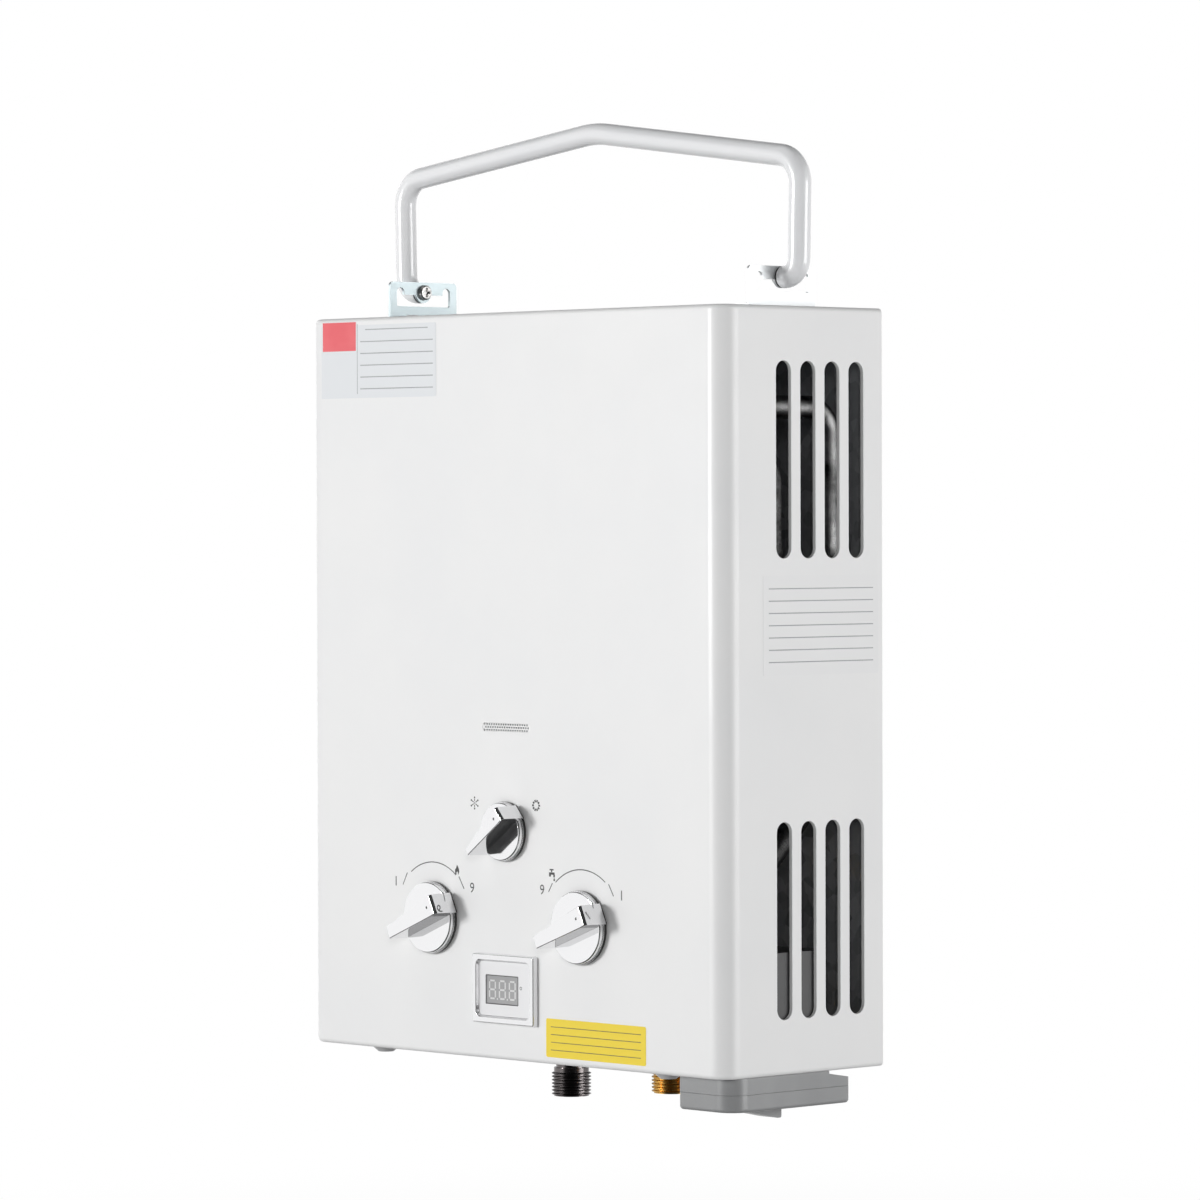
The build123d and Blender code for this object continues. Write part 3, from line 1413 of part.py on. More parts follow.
with BuildPart() as display_window:
    with BuildSketch(Plane.XZ.offset(-front_y + 0.05)):
        with Locations((panel_centre + lcd_shift, lcd_middle)):
            Rectangle(lcd_width - 0.1, lcd_height - 0.1)
    extrude(amount=plate_front - 0.3)
save(display_window.part, "display_window")

with BuildPart() as display_housing:
    with BuildSketch(Plane.XZ.offset(-front_y)):
        with Locations((panel_centre, display_middle)):
            Rectangle(display_cut_width - 0.6, display_cut_height - 0.6)
    extrude(amount=-14)
    with BuildSketch(Plane.XZ.offset(-inner_y - 0.1)):
        with Locations((panel_centre, display_middle)):
            Rectangle(display_cut_width + 5, display_cut_height - 8)
    extrude(amount=-2)
save(display_housing.part, "display_housing")

# ---------------------------------------------------------------- igniter box and battery box

igniter_x = -134
igniter_y = -64
igniter_width = 36
igniter_depth = 52
igniter_height = 50
igniter_post = 4
igniter_top = base_high + 0.1 + igniter_height
with BuildPart() as igniter_box:
    with BuildSketch(Plane.XY.offset(base_high + 0.1)):
        with Locations((igniter_x, igniter_y)):
            RectangleRounded(igniter_width, igniter_depth, 3)
    extrude(amount=igniter_height)
    with BuildSketch(Plane.XY.offset(igniter_top)):
        with Locations((igniter_x, igniter_y)):
            RectangleRounded(igniter_width - 3, igniter_depth - 3, 2)
    extrude(amount=2)
    with BuildSketch(Plane.XY.offset(igniter_top)):
        with Locations((igniter_x - 6, igniter_y - 12), (igniter_x - 6, igniter_y)):
            Circle(4)
    extrude(amount=igniter_post)
save(igniter_box.part, "igniter_box")


battery_corner = 4


def battery_outline(inset, rear):
    """Plan of the battery box, shrunk by inset: one big corner follows the casing's own."""
    with BuildSketch() as plan:
        with Locations((battery_x, (battery_front + rear) / 2)):
            Rectangle(battery_right - battery_left - 2 * inset, rear - battery_front - 2 * inset)
        front_right = plan.vertices().group_by(Axis.Y)[0].sort_by(Axis.X)[-1]
        fillet(front_right, corner_radius - inset)
        others = [v for v in plan.vertices() if v.Y > battery_y or v.X < battery_x]
        fillet(others, battery_corner - inset)
    return plan.sketch


flange_plan = battery_outline(0, battery_rear)
well_plan = battery_outline(battery_lip, battery_well_rear)
well_cavity_plan = battery_outline(battery_lip + battery_wall, battery_well_rear)
flange_cavity_plan = battery_outline(battery_lip + battery_wall, battery_rear)
flange_recess = 2.2
hinge_y = battery_rear + 2.2
hinge_z = battery_seam + 0.05
hinge_radius = 2
hinge_pin_radius = 1
door_top = battery_seam - 0.15
latch_y = -72
latch_travel = 3.5
latch_neck = 13.6
latch_play = 0.4
latch_plate_low = battery_bottom + 2.1
latch_plate = 1.2
door_wall = 1.6
latch_nose_y = battery_front + door_wall + latch_play

door_cavity_plan = battery_outline(door_wall, battery_rear)

# Case: its flange hangs below the casing, the cell well stands up inside.
with BuildPart() as battery_case:
    with BuildSketch(Plane.XY.offset(battery_seam)):
        add(flange_plan)
    extrude(amount=-battery_seam - 0.05)
    with BuildSketch(Plane.YZ.offset(battery_left - 1)):
        with BuildLine():
            Polyline(
                (battery_rear + 1, -battery_slope_fall),
                (battery_step_y, -battery_step),
                (battery_step_y, 0.1),
                (battery_rear + 1, 0.1),
                close=True,
            )
        make_face()
    extrude(amount=battery_right - battery_left + 2, mode=Mode.SUBTRACT)
    with BuildSketch(Plane.XY.offset(battery_seam + 1)):
        add(well_plan)
    extrude(amount=battery_top - battery_seam - 1)
    with BuildSketch(Plane.XY.offset(battery_seam)):
        add(well_cavity_plan)
    extrude(amount=battery_top - battery_seam - battery_wall, mode=Mode.SUBTRACT)
    with BuildSketch(Plane.XY.offset(battery_seam)):
        add(flange_cavity_plan)
    extrude(amount=flange_recess, mode=Mode.SUBTRACT)
    with BuildSketch(Plane.XY.offset(battery_seam + flange_recess)):
        with Locations((battery_x, battery_well_y)):
            Rectangle(battery_right - battery_left - 2 * battery_lip - 0.4, battery_wall)
    extrude(amount=battery_top - battery_seam - flange_recess - 1)
    for x in (battery_x - 9.5, battery_x + 9.5):
        with BuildSketch(Plane.YZ.offset(x - 2)):
            with Locations((hinge_y, hinge_z)):
                Circle(hinge_radius)
            with Locations((battery_rear + 0.6, hinge_z + 1.9)):
                Rectangle(3.4, 3.4)
        extrude(amount=4)
    with BuildSketch(Plane.YZ.offset(battery_x - 11.5)):
        with Locations((hinge_y, hinge_z)):
            Circle(hinge_pin_radius)
    extrude(amount=23)
save(battery_case.part, "battery_case")

# Door: a shallow tray that swings down at the rear, with a slot for the latch.
with BuildPart() as battery_door:
    with BuildSketch(Plane.XY.offset(battery_bottom)):
        add(flange_plan)
    extrude(amount=door_top - battery_bottom)
    rim = battery_door.faces().filter_by(Axis.Z).sort_by(Axis.Z)[0].edges()
    fillet(rim, 1.8)
    with BuildSketch(Plane.XY.offset(battery_bottom + 2)):
        add(door_cavity_plan)
    extrude(amount=door_top - battery_bottom, mode=Mode.SUBTRACT)
    with BuildSketch(Plane.XY.offset(battery_bottom - 1)):
        with Locations((battery_x, latch_y + latch_travel / 2)):
            Rectangle(8, latch_neck + latch_travel + 2 * latch_play)
    extrude(amount=5, mode=Mode.SUBTRACT)
    with BuildSketch(Plane.YZ.offset(battery_x - 7.3)):
        with Locations((hinge_y, hinge_z)):
            Circle(hinge_radius)
        with Locations((battery_rear + 0.4, hinge_z - 2)):
            Rectangle(3.2, 3.4)
        with Locations((hinge_y, hinge_z)):
            Circle(hinge_pin_radius + running_gap, mode=Mode.SUBTRACT)
    extrude(amount=14.6)
save(battery_door.part, "battery_door")

# Latch: a finger wedge under the door, on a plate that slides on the door's floor.
with BuildPart() as battery_latch:
    with BuildSketch(Plane.XY.offset(latch_plate_low)):
        with Locations((battery_x, latch_y - 1)):
            Rectangle(16, 26)
        with Locations((battery_x, (latch_nose_y + latch_y) / 2)):
            Rectangle(10, latch_y - latch_nose_y)
    extrude(amount=latch_plate)
    with BuildSketch(Plane.XY.offset(battery_bottom - 0.25)):
        with Locations((battery_x, latch_y)):
            Rectangle(7.6, latch_neck)
    extrude(amount=2.7)
    with BuildSketch(Plane.YZ.offset(battery_x - 6.5)):
        with BuildLine():
            Polyline(
                (latch_y - 13, battery_bottom - 0.25),
                (latch_y - 13, battery_bottom - 1.2),
                (latch_y + 10, battery_bottom - 6),
                (latch_y + 12.8, battery_bottom - 6),
                (latch_y + 12.8, battery_bottom - 0.25),
                close=True,
            )
        make_face()
    extrude(amount=13)
    fillet(battery_latch.edges().filter_by(Axis.X).group_by(Axis.Z)[0], 1)
save(battery_latch.part, "battery_latch")

# Two D cells, each in its own bay, and their spring contacts above.
cell_play = 0.3
cell_offset = cell_radius + battery_wall / 2 + cell_play
cell_ys = (battery_well_y - cell_offset, battery_well_y + cell_offset)
cell_low = battery_seam + 2.2
with BuildPart() as battery_cells:
    for y in cell_ys:
        with BuildSketch(Plane.XY.offset(cell_low)):
            with Locations((battery_x, y)):
                Circle(cell_radius)
        extrude(amount=cell_length)
        with BuildSketch(Plane.XY.offset(cell_low + cell_length)):
            with Locations((battery_x, y)):
                Circle(4.5)
        extrude(amount=1.5)
save(battery_cells.part, "battery_cells")

with BuildPart() as battery_contacts:
    for y in cell_ys:
        with BuildSketch(Plane.XY.offset(battery_top - battery_wall - 0.1)):
            with Locations((battery_x, y)):
                Rectangle(14, 14)
        extrude(amount=-0.6)
        with BuildSketch(Plane.XY.offset(cell_low + cell_length + 1.6)):
            with Locations((battery_x, y)):
                Circle(5)
                Circle(4, mode=Mode.SUBTRACT)
        extrude(amount=battery_top - battery_wall - cell_low - cell_length - 2)
save(battery_contacts.part, "battery_contacts")
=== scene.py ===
# %% [markdown]
# # A portable propane water heater
#
# This scene gives a finish to every piece of a small gas water heater. It is the kind that hangs
# on a wall or a hook at a campsite, in a garden or in a garage. The pieces come from a finished
# construction, in metres, with +Z up and the front facing -Y, so nothing here moves or reshapes
# them. We add a camera, soft light, materials and the thin prints on the front.
#
# The construction is loaded first.

import json
from math import cos, pi, radians, sin

import bmesh
import bpy
from mathutils import Matrix, Vector


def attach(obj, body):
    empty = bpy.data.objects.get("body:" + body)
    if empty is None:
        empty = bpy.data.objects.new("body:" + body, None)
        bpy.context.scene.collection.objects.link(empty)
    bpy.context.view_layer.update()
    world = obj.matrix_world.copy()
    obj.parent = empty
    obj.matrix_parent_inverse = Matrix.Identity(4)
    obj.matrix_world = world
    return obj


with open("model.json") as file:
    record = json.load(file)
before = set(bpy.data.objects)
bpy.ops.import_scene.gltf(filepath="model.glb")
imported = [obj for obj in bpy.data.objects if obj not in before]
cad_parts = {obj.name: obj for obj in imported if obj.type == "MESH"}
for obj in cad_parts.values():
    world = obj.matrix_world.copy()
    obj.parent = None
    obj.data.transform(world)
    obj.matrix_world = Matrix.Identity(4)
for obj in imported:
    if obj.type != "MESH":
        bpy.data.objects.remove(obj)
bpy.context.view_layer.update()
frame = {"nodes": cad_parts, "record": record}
nodes = frame["nodes"]
MM = 0.001

# %% [markdown]
# ## The camera
#
# The heater is seen from its right-hand corner, a little above its middle, with a long lens. A long
# lens from three metres keeps the upright edges nearly parallel. The three camera axes are built
# from a turn, a tilt and a small roll, and written straight into the camera's matrix. That is
# exact, where a Track To constraint would leave out the roll.

# %% Place the camera
camera_place = Vector((2.2334, -2.1758, 0.2844))
turn, tilt, roll = radians(46.4015), radians(0.8389), radians(-0.1525)
backwards = Vector((sin(turn) * cos(tilt), -cos(turn) * cos(tilt), sin(tilt)))
level_right = Vector((0, 0, 1)).cross(backwards).normalized()
level_up = backwards.cross(level_right)
camera_right = cos(roll) * level_right + sin(roll) * level_up
camera_up = cos(roll) * level_up - sin(roll) * level_right

lens = bpy.data.cameras.new("studio_camera")
lens.lens = 175.112
lens.sensor_width = 36
lens.clip_end = 50
camera = bpy.data.objects.new("studio_camera", lens)
camera.matrix_world = Matrix((camera_right, camera_up, backwards)).transposed().to_4x4()
camera.location = camera_place
bpy.context.scene.collection.objects.link(camera)
bpy.context.scene.camera = camera
bpy.context.scene.view_settings.view_transform = "Standard"
print("camera at", tuple(round(v, 3) for v in camera.location), "lens", lens.lens)

# %% [markdown]
# ## Light and surroundings
#
# A white product on a white ground needs large, soft lights: small ones would burn out the paint.
# One wide lamp stands to the left of the front and lights that face alone. Another stands to the
# right and behind, and lights the side alone, so the rounded upright corner between them stays a
# little darker and reads as a corner. A weak one hangs above. A small one in front of the corner
# shines through the louvres on to the pipes behind them. It is hidden from polished metal.

# %% Soft lamps
def soft_lamp(name, place, target, size, power):
    """A square area lamp at place that points at target."""
    lamp = bpy.data.lights.new(name, "AREA")
    lamp.shape = "SQUARE"
    lamp.size = size
    lamp.energy = power
    holder = bpy.data.objects.new(name, lamp)
    holder.location = place
    holder.rotation_euler = (Vector(target) - Vector(place)).to_track_quat("-Z", "Y").to_euler()
    bpy.context.scene.collection.objects.link(holder)
    return holder


middle = (0, -0.06, 0.2)  # the middle of the casing
soft_lamp("left_softbox", (-1.35, -2.85, 0.5), middle, size=0.7, power=52)
soft_lamp("right_softbox", (2.3, 0.95, 0.3), middle, size=1.2, power=28)
soft_lamp("top_softbox", (-0.3, -0.6, 2.1), middle, size=1.2, power=4)
slot_fill = soft_lamp("slot_fill", (2.02, -1.93, 0.66), middle, size=0.35, power=12)
slot_fill.visible_glossy = False

# %% [markdown]
# The world adds a pale glow from all round. Polished chrome shows what it faces, so the world is
# dark far below, high above and where the camera stands. Those dark parts draw the black contour
# lines that make chrome look like metal. Rays from the camera and through glass see the white
# backdrop. Rays off metal see it too, in a band that fades out about halfway up and down.

# %% The world and two helpers for its nodes
world = bpy.data.worlds.new("studio_world")
bpy.context.scene.world = world
world.use_nodes = True
sky = world.node_tree
sky.nodes.clear()


def sky_math(operation, first, second):
    """A maths node in the world. Each of first and second is a socket or a number."""
    step = sky.nodes.new("ShaderNodeMath")
    step.operation = operation
    for slot, value in enumerate((first, second)):
        if isinstance(value, (int, float)):
            step.inputs[slot].default_value = value
        else:
            sky.links.new(value, step.inputs[slot])
    return step.outputs[0]


def sky_range(value_from, low, high, to_low=0.0, to_high=1.0):
    """A smooth step from to_low to to_high as the value goes from low to high."""
    spread = sky.nodes.new("ShaderNodeMapRange")
    spread.interpolation_type = "SMOOTHSTEP"
    spread.inputs["From Min"].default_value = low
    spread.inputs["From Max"].default_value = high
    spread.inputs["To Min"].default_value = to_low
    spread.inputs["To Max"].default_value = to_high
    sky.links.new(value_from, spread.inputs["Value"])
    return spread.outputs[0]


print("helpers: sky_math, sky_range")

# %% How high a ray points, and how far it points away from the camera
direction = sky.nodes.new("ShaderNodeTexCoord").outputs["Generated"]
split = sky.nodes.new("ShaderNodeSeparateXYZ")
sky.links.new(direction, split.inputs[0])
height = split.outputs["Z"]
toward_camera = sky.nodes.new("ShaderNodeVectorMath")
toward_camera.operation = "DOT_PRODUCT"
toward_camera.inputs[1].default_value = (0.66, -0.70, 0.27)
sky.links.new(direction, toward_camera.inputs[0])
away_from_camera = sky_range(toward_camera.outputs["Value"], 0.50, 0.72, 1.0, 0.0)
print("directions:", split.name, toward_camera.name)

# %% The pale glow, dimmer behind the camera and in metal
height_ramp = sky.nodes.new("ShaderNodeValToRGB")
sky.links.new(sky_range(height, -1, 1), height_ramp.inputs[0])
ramp = height_ramp.color_ramp
ramp.elements[0].position, ramp.elements[0].color = 0.05, (0.04, 0.04, 0.045, 1)
ramp.elements[1].position, ramp.elements[1].color = 0.34, (0.92, 0.93, 0.95, 1)
for place, level in ((0.13, 0.62), (0.74, 0.98), (0.90, 0.30), (1.0, 0.35)):
    stop = ramp.elements.new(place)
    stop.color = (level, level, level * 1.01, 1)
glow = sky.nodes.new("ShaderNodeBackground")
sky.links.new(height_ramp.outputs[0], glow.inputs["Color"])
light_path = sky.nodes.new("ShaderNodeLightPath")
room = sky_range(toward_camera.outputs["Value"], 0.80, 0.92, 0.24, 0.10)
dimmed = sky_range(light_path.outputs["Is Glossy Ray"], 0.0, 1.0, 1.0, 0.3)
sky.links.new(sky_math("MULTIPLY", room, dimmed), glow.inputs["Strength"])
print("glow stops:", len(ramp.elements))

# %% The white backdrop for the camera, glass and metal
band = sky_math("MULTIPLY", sky_range(height, -0.64, -0.30), sky_range(height, 0.42, 0.56, 1.0, 0.0))
seen_in_metal = sky_math("MULTIPLY", band, away_from_camera)
off_metal = sky_math("MULTIPLY", light_path.outputs["Is Glossy Ray"], seen_in_metal)
straight = sky_math("MAXIMUM", light_path.outputs["Is Camera Ray"], light_path.outputs["Is Transmission Ray"])
shows_white = sky_math("MAXIMUM", straight, off_metal)
backdrop = sky.nodes.new("ShaderNodeBackground")
backdrop.inputs["Color"].default_value = (1, 1, 1, 1)
either = sky.nodes.new("ShaderNodeMixShader")
sky_out = sky.nodes.new("ShaderNodeOutputWorld")
sky.links.new(shows_white, either.inputs[0])
sky.links.new(glow.outputs[0], either.inputs[1])
sky.links.new(backdrop.outputs[0], either.inputs[2])
sky.links.new(either.outputs[0], sky_out.inputs[0])
print("world:", len(sky.nodes), "nodes")

# %% [markdown]
# ## The floor
#
# The heater hangs, so the floor lies a hand's width below it. The floor is a single large sheet. To
# the camera it glows almost white under the heater and fully white further out, so that it keeps a
# soft shadow and runs into the backdrop with no line between them. It bounces light on to the lower
# half like a floor that is lit from both sides, so that the front is as bright below as above.
# Polished metal doesn't see it, which keeps the dark contour lines.

# %% A large flat sheet
FLOOR_LEVEL = -0.14
reach = 6.0
floor_mesh = bpy.data.meshes.new("studio_floor")
floor_mesh.from_pydata(
    [(x, y, FLOOR_LEVEL) for x, y in ((-reach, -reach), (reach, -reach), (reach, reach), (-reach, reach))],
    [],
    [(0, 1, 2, 3)],
)
floor = bpy.data.objects.new("studio_floor", floor_mesh)
bpy.context.scene.collection.objects.link(floor)
floor.visible_glossy = False
print("floor at", FLOOR_LEVEL, "m")

# %% Its glow for the camera, and its lift for what stands over it
floor_paint = bpy.data.materials.new("pale_floor")
floor_paint.use_nodes = True
tree = floor_paint.node_tree
tree.nodes.clear()
matt = tree.nodes.new("ShaderNodeBsdfDiffuse")
matt.inputs["Color"].default_value = (0.62, 0.62, 0.62, 1)
white_glow = tree.nodes.new("ShaderNodeEmission")
white_glow.inputs["Color"].default_value = (1, 1, 1, 1)
camera_sees = tree.nodes.new("ShaderNodeLightPath")
share = tree.nodes.new("ShaderNodeMath")
share.operation = "MULTIPLY"
spot = tree.nodes.new("ShaderNodeTexCoord")
how_far = tree.nodes.new("ShaderNodeVectorMath")
how_far.operation = "DISTANCE"
how_far.inputs[1].default_value = (0, 0, FLOOR_LEVEL)
fade = tree.nodes.new("ShaderNodeMapRange")
fade.interpolation_type = "SMOOTHSTEP"
fade.inputs["From Min"].default_value = 0.15
fade.inputs["From Max"].default_value = 0.75
fade.inputs["To Min"].default_value = 0.93
fade.inputs["To Max"].default_value = 1.0
tree.links.new(spot.outputs["Object"], how_far.inputs[0])
tree.links.new(how_far.outputs["Value"], fade.inputs["Value"])
tree.links.new(fade.outputs[0], share.inputs[1])
lift = tree.nodes.new("ShaderNodeMath")
lift.operation = "MULTIPLY_ADD"
lift.inputs[1].default_value = 0.25
blend = tree.nodes.new("ShaderNodeMixShader")
floor_out = tree.nodes.new("ShaderNodeOutputMaterial")
tree.links.new(camera_sees.outputs["Is Camera Ray"], share.inputs[0])
tree.links.new(camera_sees.outputs["Is Diffuse Ray"], lift.inputs[0])
tree.links.new(share.outputs[0], lift.inputs[2])
tree.links.new(lift.outputs[0], blend.inputs[0])
tree.links.new(matt.outputs[0], blend.inputs[1])
tree.links.new(white_glow.outputs[0], blend.inputs[2])
tree.links.new(blend.outputs[0], floor_out.inputs[0])
floor_mesh.materials.append(floor_paint)
print("floor paint:", len(tree.nodes), "nodes")

# %% [markdown]
# ## Shared effects
#
# Several finishes share the same small faults: paint has a fine skin, metal has grain, handled
# surfaces have a haze. Each effect is a node group, built once and placed in each material with its
# own values. A group puts out only masks, tones and heights. The Principled shader stays in the
# material, because an exporter can't read a shader inside a group.

# %% A helper for node groups
def effect(name, inputs, outputs):
    """A new shader node group, with its input and output nodes. inputs maps a name to its default."""
    group = bpy.data.node_groups.new(name, "ShaderNodeTree")
    for label, value in inputs.items():
        socket = group.interface.new_socket(label, in_out="INPUT", socket_type="NodeSocketFloat")
        socket.default_value = value
    for label in outputs:
        group.interface.new_socket(label, in_out="OUTPUT", socket_type="NodeSocketFloat")
    entry = group.nodes.new("NodeGroupInput")
    result = group.nodes.new("NodeGroupOutput")
    return group, entry, result


def noise_in(group, scale_from, detail, roughness, squeeze=None):
    """A noise texture in object space inside group. squeeze stretches it along the axes."""
    place = group.nodes.new("ShaderNodeTexCoord")
    noise = group.nodes.new("ShaderNodeTexNoise")
    noise.inputs["Detail"].default_value = detail
    noise.inputs["Roughness"].default_value = roughness
    if squeeze:
        mapping = group.nodes.new("ShaderNodeMapping")
        mapping.inputs["Scale"].default_value = squeeze
        group.links.new(place.outputs["Object"], mapping.inputs["Vector"])
        group.links.new(mapping.outputs[0], noise.inputs["Vector"])
    else:
        group.links.new(place.outputs["Object"], noise.inputs["Vector"])
    group.links.new(scale_from, noise.inputs["Scale"])
    return noise


def ranged(group, value_from, low_from, high_from):
    """Maps 0.35 to 0.65 of a noise value on to low to high."""
    spread = group.nodes.new("ShaderNodeMapRange")
    spread.inputs["From Min"].default_value = 0.35
    spread.inputs["From Max"].default_value = 0.65
    group.links.new(value_from, spread.inputs["Value"])
    group.links.new(low_from, spread.inputs["To Min"])
    group.links.new(high_from, spread.inputs["To Max"])
    return spread


print("helpers: effect, noise_in, ranged")

# %% Paint skin and handling haze
paint_skin, entry, result = effect("paint_skin", {"Scale": 900, "Low": 0.0, "High": 1.0}, ["Height", "Tone"])
fine = noise_in(paint_skin, entry.outputs["Scale"], detail=2, roughness=0.5)
broad_scale = paint_skin.nodes.new("ShaderNodeMath")
broad_scale.operation = "MULTIPLY"
broad_scale.inputs[1].default_value = 0.01  # the tone's patches are a hundred times the skin's
paint_skin.links.new(entry.outputs["Scale"], broad_scale.inputs[0])
broad = noise_in(paint_skin, broad_scale.outputs[0], detail=3, roughness=0.55)
tone = ranged(paint_skin, broad.outputs["Fac"], entry.outputs["Low"], entry.outputs["High"])
paint_skin.links.new(fine.outputs["Fac"], result.inputs["Height"])
paint_skin.links.new(tone.outputs[0], result.inputs["Tone"])

haze, entry, result = effect("handling_haze", {"Scale": 40, "Low": 0.1, "High": 0.2}, ["Roughness"])
cloud = noise_in(haze, entry.outputs["Scale"], detail=5, roughness=0.6)
spread = ranged(haze, cloud.outputs["Fac"], entry.outputs["Low"], entry.outputs["High"])
haze.links.new(spread.outputs[0], result.inputs["Roughness"])
print("groups:", paint_skin.name, haze.name)

# %% [markdown]
# Metal from a mill or a lathe has a grain: fine lines along one direction. A noise that is
# stretched along one axis gives them. Galvanised sheet is different: its zinc freezes in flat
# crystals called spangles, and a Voronoi texture gives those, one tone to each cell.

# %% Metal grain and zinc spangles
grain, entry, result = effect("metal_grain", {"Scale": 60, "Low": 0.2, "High": 0.4}, ["Height", "Tone"])
lines = noise_in(grain, entry.outputs["Scale"], detail=4, roughness=0.6, squeeze=(1, 1, 28))
tone = ranged(grain, lines.outputs["Fac"], entry.outputs["Low"], entry.outputs["High"])
grain.links.new(lines.outputs["Fac"], result.inputs["Height"])
grain.links.new(tone.outputs[0], result.inputs["Tone"])

spangle, entry, result = effect("zinc_spangle", {"Scale": 160, "Low": 0.7, "High": 1.0}, ["Height", "Tone"])
place = spangle.nodes.new("ShaderNodeTexCoord")
cells = spangle.nodes.new("ShaderNodeTexVoronoi")
spangle.links.new(place.outputs["Object"], cells.inputs["Vector"])
spangle.links.new(entry.outputs["Scale"], cells.inputs["Scale"])
apart = spangle.nodes.new("ShaderNodeSeparateColor")
spangle.links.new(cells.outputs["Color"], apart.inputs[0])
tone = ranged(spangle, apart.outputs[0], entry.outputs["Low"], entry.outputs["High"])
tone.inputs["From Min"].default_value = 0
tone.inputs["From Max"].default_value = 1
spangle.links.new(cells.outputs["Distance"], result.inputs["Height"])
spangle.links.new(tone.outputs[0], result.inputs["Tone"])
print("groups:", grain.name, spangle.name)

# %% [markdown]
# Edges are touched and knocked most. The Bevel node gives a normal that is rounded near an edge, so
# where it differs from the true normal there is an edge. A noise breaks the band up, because real
# wear isn't even. The same edge mask also paints a whiter line round the casing's slots, which is a
# painted highlight and not wear.

# %% Edge wear, and the casing's painted rim highlight
edge_wear_and_highlight, entry, result = effect("edge_wear_and_highlight", {"Width": 0.0006, "Patches": 300, "Amount": 1.0}, ["Mask"])
rounded = edge_wear_and_highlight.nodes.new("ShaderNodeBevel")
rounded.samples = 4
edge_wear_and_highlight.links.new(entry.outputs["Width"], rounded.inputs["Radius"])
true_normal = edge_wear_and_highlight.nodes.new("ShaderNodeNewGeometry")
agreement = edge_wear_and_highlight.nodes.new("ShaderNodeVectorMath")
agreement.operation = "DOT_PRODUCT"
edge_wear_and_highlight.links.new(rounded.outputs[0], agreement.inputs[0])
edge_wear_and_highlight.links.new(true_normal.outputs["Normal"], agreement.inputs[1])
band = edge_wear_and_highlight.nodes.new("ShaderNodeMapRange")
band.inputs["From Min"].default_value = 0.99
band.inputs["From Max"].default_value = 0.90
edge_wear_and_highlight.links.new(agreement.outputs["Value"], band.inputs["Value"])
patch = noise_in(edge_wear_and_highlight, entry.outputs["Patches"], detail=3, roughness=0.6)
broken = edge_wear_and_highlight.nodes.new("ShaderNodeMapRange")
broken.inputs["From Min"].default_value = 0.42
broken.inputs["From Max"].default_value = 0.58
edge_wear_and_highlight.links.new(patch.outputs["Fac"], broken.inputs["Value"])
both = edge_wear_and_highlight.nodes.new("ShaderNodeMath")
both.operation = "MULTIPLY"
edge_wear_and_highlight.links.new(band.outputs[0], both.inputs[0])
edge_wear_and_highlight.links.new(broken.outputs[0], both.inputs[1])
scaled = edge_wear_and_highlight.nodes.new("ShaderNodeMath")
scaled.operation = "MULTIPLY"
edge_wear_and_highlight.links.new(both.outputs[0], scaled.inputs[0])
edge_wear_and_highlight.links.new(entry.outputs["Amount"], scaled.inputs[1])
edge_wear_and_highlight.links.new(scaled.outputs[0], result.inputs["Mask"])
print("group:", edge_wear_and_highlight.name)


# %% [markdown]
# ## Building a finish
#
# Each finish starts from one Principled shader. Values that are the same all over are set on its
# own sockets. Only what varies over the surface is linked. Helpers keep the cells below short: one
# starts a material, one places a shared effect and one bumps the surface. Others mix colours and
# tell one part of a piece from another by where it is.

# %% Helpers for materials
def finish_of(name, colour, metallic, roughness, **sockets):
    """A material with one Principled shader. sockets are further constants, by the socket's name."""
    made = bpy.data.materials.new(name)
    made.use_nodes = True
    shader = made.node_tree.nodes["Principled BSDF"]
    shader.inputs["Base Color"].default_value = (*colour, 1)
    shader.inputs["Metallic"].default_value = metallic
    shader.inputs["Roughness"].default_value = roughness
    for label, value in sockets.items():
        shader.inputs[label.replace("_", " ")].default_value = value
    return made, made.node_tree, shader


def place_effect(tree, group, **values):
    """Puts a shared effect in a material, with its own values."""
    placed = tree.nodes.new("ShaderNodeGroup")
    placed.node_tree = group
    for label, value in values.items():
        placed.inputs[label].default_value = value
    return placed


def bump(tree, shader, height_from, distance, strength=1.0):
    """Raises and lowers the surface by distance, in metres."""
    relief = tree.nodes.new("ShaderNodeBump")
    relief.inputs["Distance"].default_value = distance
    relief.inputs["Strength"].default_value = strength
    tree.links.new(height_from, relief.inputs["Height"])
    tree.links.new(relief.outputs[0], shader.inputs["Normal"])


def two_tone(tree, fac_from, first, second):
    """A colour that goes from first to second as fac goes from 0 to 1."""
    mixed = tree.nodes.new("ShaderNodeMix")
    mixed.data_type = "RGBA"
    mixed.inputs["A"].default_value = (*first, 1)
    mixed.inputs["B"].default_value = (*second, 1)
    tree.links.new(fac_from, mixed.inputs["Factor"])
    return mixed.outputs["Result"]


print("helpers: finish_of, place_effect, bump, two_tone")


# %% Helpers for a second colour on part of a surface
def covered(tree, shader, mask_from, over):
    """Covers the colour that the shader has so far with the colour over, where the mask is 1."""
    mixed = tree.nodes.new("ShaderNodeMix")
    mixed.data_type = "RGBA"
    mixed.inputs["B"].default_value = (*over, 1)
    tree.links.new(mask_from, mixed.inputs["Factor"])
    tree.links.new(shader.inputs["Base Color"].links[0].from_socket, mixed.inputs["A"])
    tree.links.new(mixed.outputs["Result"], shader.inputs["Base Color"])


def beyond(tree, axis, limit, operation="GREATER_THAN"):
    """A mask that is 1 where a point's place along the axis is beyond limit, in metres."""
    point = tree.nodes.new("ShaderNodeTexCoord")
    axes = tree.nodes.new("ShaderNodeSeparateXYZ")
    tree.links.new(point.outputs["Object"], axes.inputs[0])
    test = tree.nodes.new("ShaderNodeMath")
    test.operation = operation
    test.inputs[1].default_value = limit
    tree.links.new(axes.outputs[axis], test.inputs[0])
    return test.outputs[0]


print("helpers: covered, beyond")
